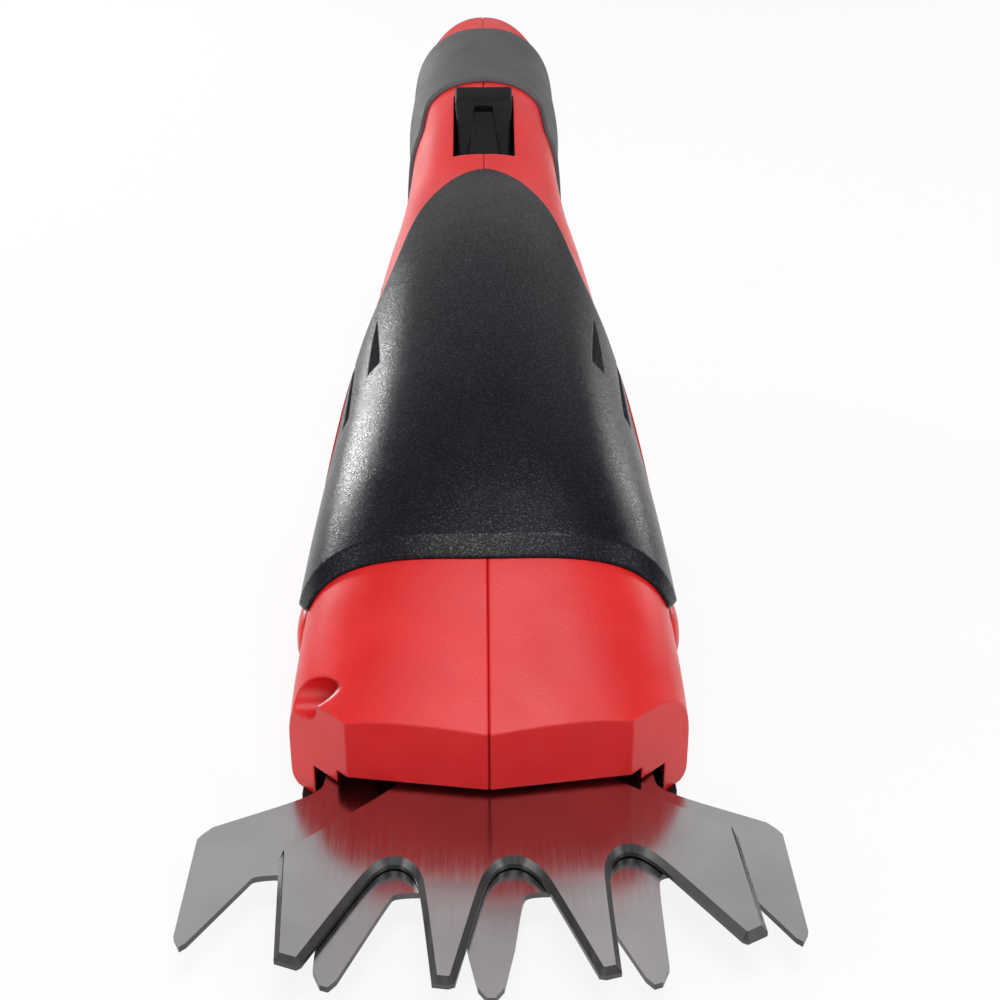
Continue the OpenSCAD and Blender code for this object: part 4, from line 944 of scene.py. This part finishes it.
def grip_front(turn):
    """The grip's front edge, with its corners eased."""
    near = [turn / 90 + k * GRIP_CORNER_EASE for k in (-1, 0, 1)]
    return sum(lookup(GRIP_FRONT_SHARES, place) for place in near) / len(near)


def grip_place(row, turn):
    """Place along the body and distance from the nearer end of a row of the grip."""
    rim = [distance / BODY_LENGTH for distance in GRIP_RIM]
    front = grip_front(turn)
    if row < 0:
        return front + rim[row - 1], GRIP_RIM[row - 1]
    if row > GRIP_ROWS:
        return GRIP_END_SHARE - rim[GRIP_ROWS - row - 1], GRIP_RIM[GRIP_ROWS - row - 1]
    start, stop = front + rim[-1], GRIP_END_SHARE - rim[-1]
    return start + (stop - start) * row / GRIP_ROWS, GRIP_RIM[-1]


def grip_half(name, side):
    turns = [-90 + 180 * i / GRIP_STEPS for i in range(GRIP_STEPS + 1)]
    rings = []
    for row in range(-len(GRIP_RIM) + 1, GRIP_ROWS + len(GRIP_RIM)):
        outer, inner = [], []
        for turn in turns:
            share, distance = grip_place(row, turn)
            here = section(share)
            drop = edge_drop(distance, GRIP_RIM[-1])
            outer.append(skin(here, turn, GRIP_GAP + GRIP_THICKNESS - drop))
            inner.append(skin(here, turn, GRIP_GAP))
        rings.append([(max(p[0], 0.0), p[1], p[2]) for p in outer + inner[::-1]])
    half = shell_loft(name, rings, side)
    cut(half, [lock_cutter(TRAY_DEPTH, 2 * TRAY_DEPTH, side)])
    return finish_piece(half, "body", "grip_rubber", name, angle=28)


# Blades

BLADE_THICKNESS = 2.0
FIXED_BLADE_WIDTH = 108.6
FIXED_BLADE_Z = 6.0
MOVING_BLADE_WIDTH = 84.0
MOVING_BLADE_REACH = 87.6
MOVING_BLADE_Z = 8.2
BLADE_REST_ANGLE = 3.9
PIVOT_SETBACK = 39.0
PIVOT_Y = BLADE_REACH + PIVOT_SETBACK
PIVOT_RADIUS = 5.05
PIVOT_EYE = 11.5
TAIL_ARM = 28.0
TAIL_RIM = 3.4
WINDOW = (11.37, 7.585)
SHANK_HOLE_RADIUS = 3.03
# Ground bevels: width along the teeth, width elsewhere, depth, and the share of the reach from the
# tips, or from the pivot, that parts the two
FIXED_BEVEL, FIXED_EDGE, FIXED_BEVEL_DEPTH, FIXED_TEETH_SHARE = 0.9, 0.25, 0.8, 0.65
MOVING_BEVEL, MOVING_EDGE, MOVING_BEVEL_DEPTH, MOVING_TEETH_SHARE = 1.0, 0.2, 1.1, 0.62
ROOT_SHARE = 0.42
ROOT_STEPS = 5
PARALLEL = 0.05
ON_AXIS = 1e-6


def mirrored(half):
    """A whole outline from the half on the +X side."""
    return half + [(-x, y) for x, y in reversed(half) if abs(x) > ON_AXIS]


def closed_pairs(outline):
    """The edges of a closed outline, each as its two ends."""
    return zip(outline, outline[1:] + outline[:1])


def turning(a, b, c):
    """Above zero where the way from a over b to c turns left."""
    return (b[0] - a[0]) * (c[1] - b[1]) - (b[1] - a[1]) * (c[0] - b[0])


def anticlockwise(outline):
    area = sum(a[0] * b[1] - b[0] * a[1] for a, b in closed_pairs(outline))
    return outline if area > 0 else outline[::-1]


def rounded_roots(outline):
    """An anticlockwise outline with its hollow corners drawn as curves."""
    n = len(outline)
    result = []
    for i in range(n):
        a, b, c = (Vector(outline[(i + k) % n]) for k in (-1, 0, 1))
        if turning(a, b, c) >= 0:
            result.append(tuple(b))
            continue
        start, end = b.lerp(a, ROOT_SHARE), b.lerp(c, ROOT_SHARE)
        for k in range(ROOT_STEPS + 1):
            t = k / ROOT_STEPS
            result.append(tuple(start.lerp(b, t).lerp(b.lerp(end, t), t)))
    return result


def inset_outline(outline, widths):
    """Moves each edge of an anticlockwise outline inwards by its own width."""
    lines = []
    for (start, end), width in zip(closed_pairs(outline), widths):
        along = (Vector(end) - Vector(start)).normalized()
        inward = Vector((-along.y, along.x))
        lines.append((Vector(start) + inward * width, along, inward))
    result = []
    for i in range(len(outline)):
        (p, d, m), (q, e, k) = lines[i - 1], lines[i]
        cross = d.x * e.y - d.y * e.x
        if abs(cross) < PARALLEL:
            result.append(tuple(Vector(outline[i]) + (m * widths[i - 1] + k * widths[i]) / 2))
            continue
        t = ((q - p).x * e.y - (q - p).y * e.x) / cross
        result.append(tuple(p + d * t))
    return result


def blade(name, outline, bevels, depth, holes, z, place, bevel_top):
    """A ground blade: a flat plate with a bevel along its teeth on one face, and holes."""
    inner = inset_outline(outline, bevels)
    low, high = z, z + BLADE_THICKNESS
    levels = [low, high - depth, high] if bevel_top else [low, low + depth, high]
    loops = [outline, outline, inner] if bevel_top else [inner, outline, outline]
    n = len(outline)
    points = [(x, y, level) for loop, level in zip(loops, levels) for x, y in loop]
    walls = ring_faces(len(loops), n)
    starts = []
    for hole in holes:
        starts.append(len(points))
        points += [(x, y, level) for level in (low, high) for x, y in hole]
    bores, flats = [], []
    for hole, start in zip(holes, starts):
        m = len(hole)
        bores += [
            (start + (i + 1) % m, start + i, start + m + i, start + m + (i + 1) % m)
            for i in range(m)
        ]
    for up in (False, True):
        index = [(len(loops) - 1) * n * up + i for i in range(n)]
        for hole, start in zip(holes, starts):
            index += [start + len(hole) * up + i for i in range(len(hole))]
        lines = [[Vector((x, y, 0)) for x, y in line] for line in [loops[-1 if up else 0]] + holes]
        for triangle in tessellate_polygon(lines):
            a, b, c = (index[k] for k in triangle)
            left = turning(points[a], points[b], points[c]) > 0
            flats.append((a, b, c) if left == up else (c, b, a))
    plate = make_object(name, [tuple(place @ Vector(p)) for p in points], walls + bores + flats)
    return plate, len(walls)


def finish_blade(plate, walls, body, node):
    """Finishes a blade and paints its walls and bevels, which are its first faces, in a darker copy
    of its steel as painted shade.
    """
    finish_piece(plate, body, "blade_steel", node, angle=20)
    plate.data.materials.append(BLADE_EDGE_SHADE)
    for face in plate.data.polygons[:walls]:
        face.material_index = 1
    return plate


def tooth_widths(outline, limit, wide, thin):
    """Bevel widths: wide along the teeth, ahead of a limit, and thin elsewhere."""
    return [wide if max(a[1], b[1]) < limit else thin for a, b in closed_pairs(outline)]


def fixed_blade():
    half = [(x * FIXED_BLADE_WIDTH / 2, y * BLADE_REACH) for x, y in FIXED_BLADE_SHARES]
    half += [(x * MOUTH_WIDTH / 2, BLADE_REACH + y * PIVOT_SETBACK) for x, y in FIXED_TANG_SHARES]
    outline = rounded_roots(anticlockwise(mirrored(half)))
    widths = tooth_widths(outline, FIXED_TEETH_SHARE * BLADE_REACH, FIXED_BEVEL, FIXED_EDGE)
    shank = [(x, y + PIVOT_Y) for x, y in circle_outline(SHANK_HOLE_RADIUS)]
    plate, walls = blade(
        "fixed_blade_ground", outline, widths, FIXED_BEVEL_DEPTH, [shank], FIXED_BLADE_Z,
        Matrix.Identity(4), bevel_top=False)
    return finish_blade(plate, walls, "body", "fixed_blade")


def moving_blade():
    half = [(x * MOVING_BLADE_WIDTH / 2, -y * MOVING_BLADE_REACH) for x, y in MOVING_BLADE_SHARES]
    tail_side, tail_end = WINDOW[0] + TAIL_RIM, TAIL_ARM + WINDOW[1] + TAIL_RIM
    half += [
        (PIVOT_EYE, 0), (tail_side, TAIL_ARM - WINDOW[1]), (tail_side, tail_end), (0, tail_end)]
    outline = rounded_roots(anticlockwise(mirrored(half)))
    limit = -MOVING_TEETH_SHARE * MOVING_BLADE_REACH
    widths = tooth_widths(outline, limit, MOVING_BEVEL, MOVING_EDGE)
    eye = circle_outline(PIVOT_RADIUS)
    window = box_outline(-WINDOW[0], WINDOW[0], TAIL_ARM - WINDOW[1], TAIL_ARM + WINDOW[1])
    place = shift(y=PIVOT_Y) @ Matrix.Rotation(math.radians(BLADE_REST_ANGLE), 4, "Z")
    plate, walls = blade(
        "moving_blade_ground", outline, widths, MOVING_BEVEL_DEPTH, [eye, window], MOVING_BLADE_Z,
        place, bevel_top=True)
    return finish_blade(plate, walls, "blade", "moving_blade")


# Stage

CAMERA_PLACE = (0.0, -0.3721, 0.1983)
CAMERA_PITCH = 63.0
CAMERA_ROLL = -0.5
CAMERA_LENS = 57.6
CAMERA_SENSOR = 36.0
CAMERA_SHIFT = 0.013
CAMERA_NEAR = 0.01

FLOOR_SIZE = 6.0
FLOOR_GREY = 0.85
FLOOR_ROUGHNESS = 0.9
FLOOR_GLOW = 0.85

WHITE = (1, 1, 1, 1)
WORLD_STRENGTH = 0.26
MIDDLE = (0, 0, 0.05)
NOSE_TOP = (0, -0.08, 0.03)
# Place, what it points at, size and power of each light
LIGHTS = {
    "overhead": ((0.05, -0.22, 0.9), NOSE_TOP, (0.6, 0.36), 3.8),
    "front": ((0, -1.2, 0.35), MIDDLE, (0.9, 0.5), 4.0),
    "left_front": ((-0.85, -0.35, 0.5), MIDDLE, (0.5, 0.7), 2.4),
    "right_front": ((0.85, -0.3, 0.5), MIDDLE, (0.5, 0.7), 2.2),
    "left_back": ((-0.75, 0.80, 0.36), MIDDLE, (0.14, 0.45), 6.5),
    "right_back": ((0.85, 0.80, 0.34), MIDDLE, (0.14, 0.45), 2.2),
    "back_card": ((0, 1.2, 0.95), MIDDLE, (1.8, 1.2), 3.2),
}


def camera():
    data = bpy.data.cameras.new("camera")
    data.lens = CAMERA_LENS
    data.sensor_width = CAMERA_SENSOR
    data.shift_x = CAMERA_SHIFT
    data.clip_start = CAMERA_NEAR
    obj = add_object("camera", data)
    pitch = Matrix.Rotation(math.radians(CAMERA_PITCH), 4, "X")
    roll = Matrix.Rotation(math.radians(CAMERA_ROLL), 4, "Z")
    obj.matrix_world = Matrix.Translation(CAMERA_PLACE) @ (pitch @ roll)
    bpy.context.scene.camera = obj


def combine(nodes, links, operation, first, second, clamp=False):
    """Adds or multiplies a value with another value or with a number."""
    node = nodes.new("ShaderNodeMath")
    node.operation = operation
    node.use_clamp = clamp
    links.new(first, node.inputs[0])
    if isinstance(second, float):
        node.inputs[1].default_value = second
    else:
        links.new(second, node.inputs[1])
    return node.outputs[0]


def floor_material():
    """Near white where it is looked at, mirrored or seen through, and grey for other light."""
    material, nodes, links, shader = new_material("floor_white")
    shader.inputs["Base Color"].default_value = (FLOOR_GREY, FLOOR_GREY, FLOOR_GREY, 1)
    shader.inputs["Roughness"].default_value = FLOOR_ROUGHNESS
    glow = nodes.new("ShaderNodeEmission")
    glow.inputs["Color"].default_value = WHITE
    path = nodes.new("ShaderNodeLightPath").outputs
    seen = combine(nodes, links, "ADD", path["Is Camera Ray"], path["Is Glossy Ray"])
    seen = combine(nodes, links, "ADD", seen, path["Is Transmission Ray"], clamp=True)
    mix = nodes.new("ShaderNodeMixShader")
    links.new(combine(nodes, links, "MULTIPLY", seen, FLOOR_GLOW), mix.inputs["Fac"])
    links.new(shader.outputs["BSDF"], mix.inputs[1])
    links.new(glow.outputs["Emission"], mix.inputs[2])
    links.new(mix.outputs["Shader"], nodes["Material Output"].inputs["Surface"])
    return material


def floor():
    """A pale floor that keeps a soft shadow."""
    mesh = bpy.data.meshes.new("floor")
    corners = box_outline(-FLOOR_SIZE, FLOOR_SIZE, -FLOOR_SIZE, FLOOR_SIZE)
    mesh.from_pydata([(x, y, 0) for x, y in corners], [], [(0, 1, 2, 3)])
    obj = add_object("floor", mesh)
    mesh.materials.append(floor_material())


def area_light(name, place, target, size, power):
    data = bpy.data.lights.new(name, "AREA")
    data.shape = "RECTANGLE"
    data.size, data.size_y = size
    data.energy = power
    obj = add_object(name, data)
    obj.location = place
    obj.rotation_euler = (Vector(target) - Vector(place)).to_track_quat("-Z", "Y").to_euler()


def studio():
    scene = bpy.context.scene
    scene.view_settings.view_transform = "Standard"
    world = bpy.data.worlds.new("studio")
    world.use_nodes = True
    background = world.node_tree.nodes["Background"]
    background.inputs["Color"].default_value = WHITE
    background.inputs["Strength"].default_value = WORLD_STRENGTH
    scene.world = world
    for name, (place, target, size, power) in LIGHTS.items():
        area_light(name, place, target, size, power)


paint_nodes()
camera()
floor()
studio()
housing_half("housing_left", 1)
housing_half("housing_right", -1)
top_cover()
cover_ledge("cover_ledge_left", 1)
cover_ledge("cover_ledge_right", -1)
grip_half("grip_left", 1)
grip_half("grip_right", -1)
release_button("button_lobe_left", "button_left", "release_button_left", 1)
release_button("button_lobe_right", "button_right", "release_button_right", -1)
lock_slider()
trigger()
fixed_blade()
moving_blade()
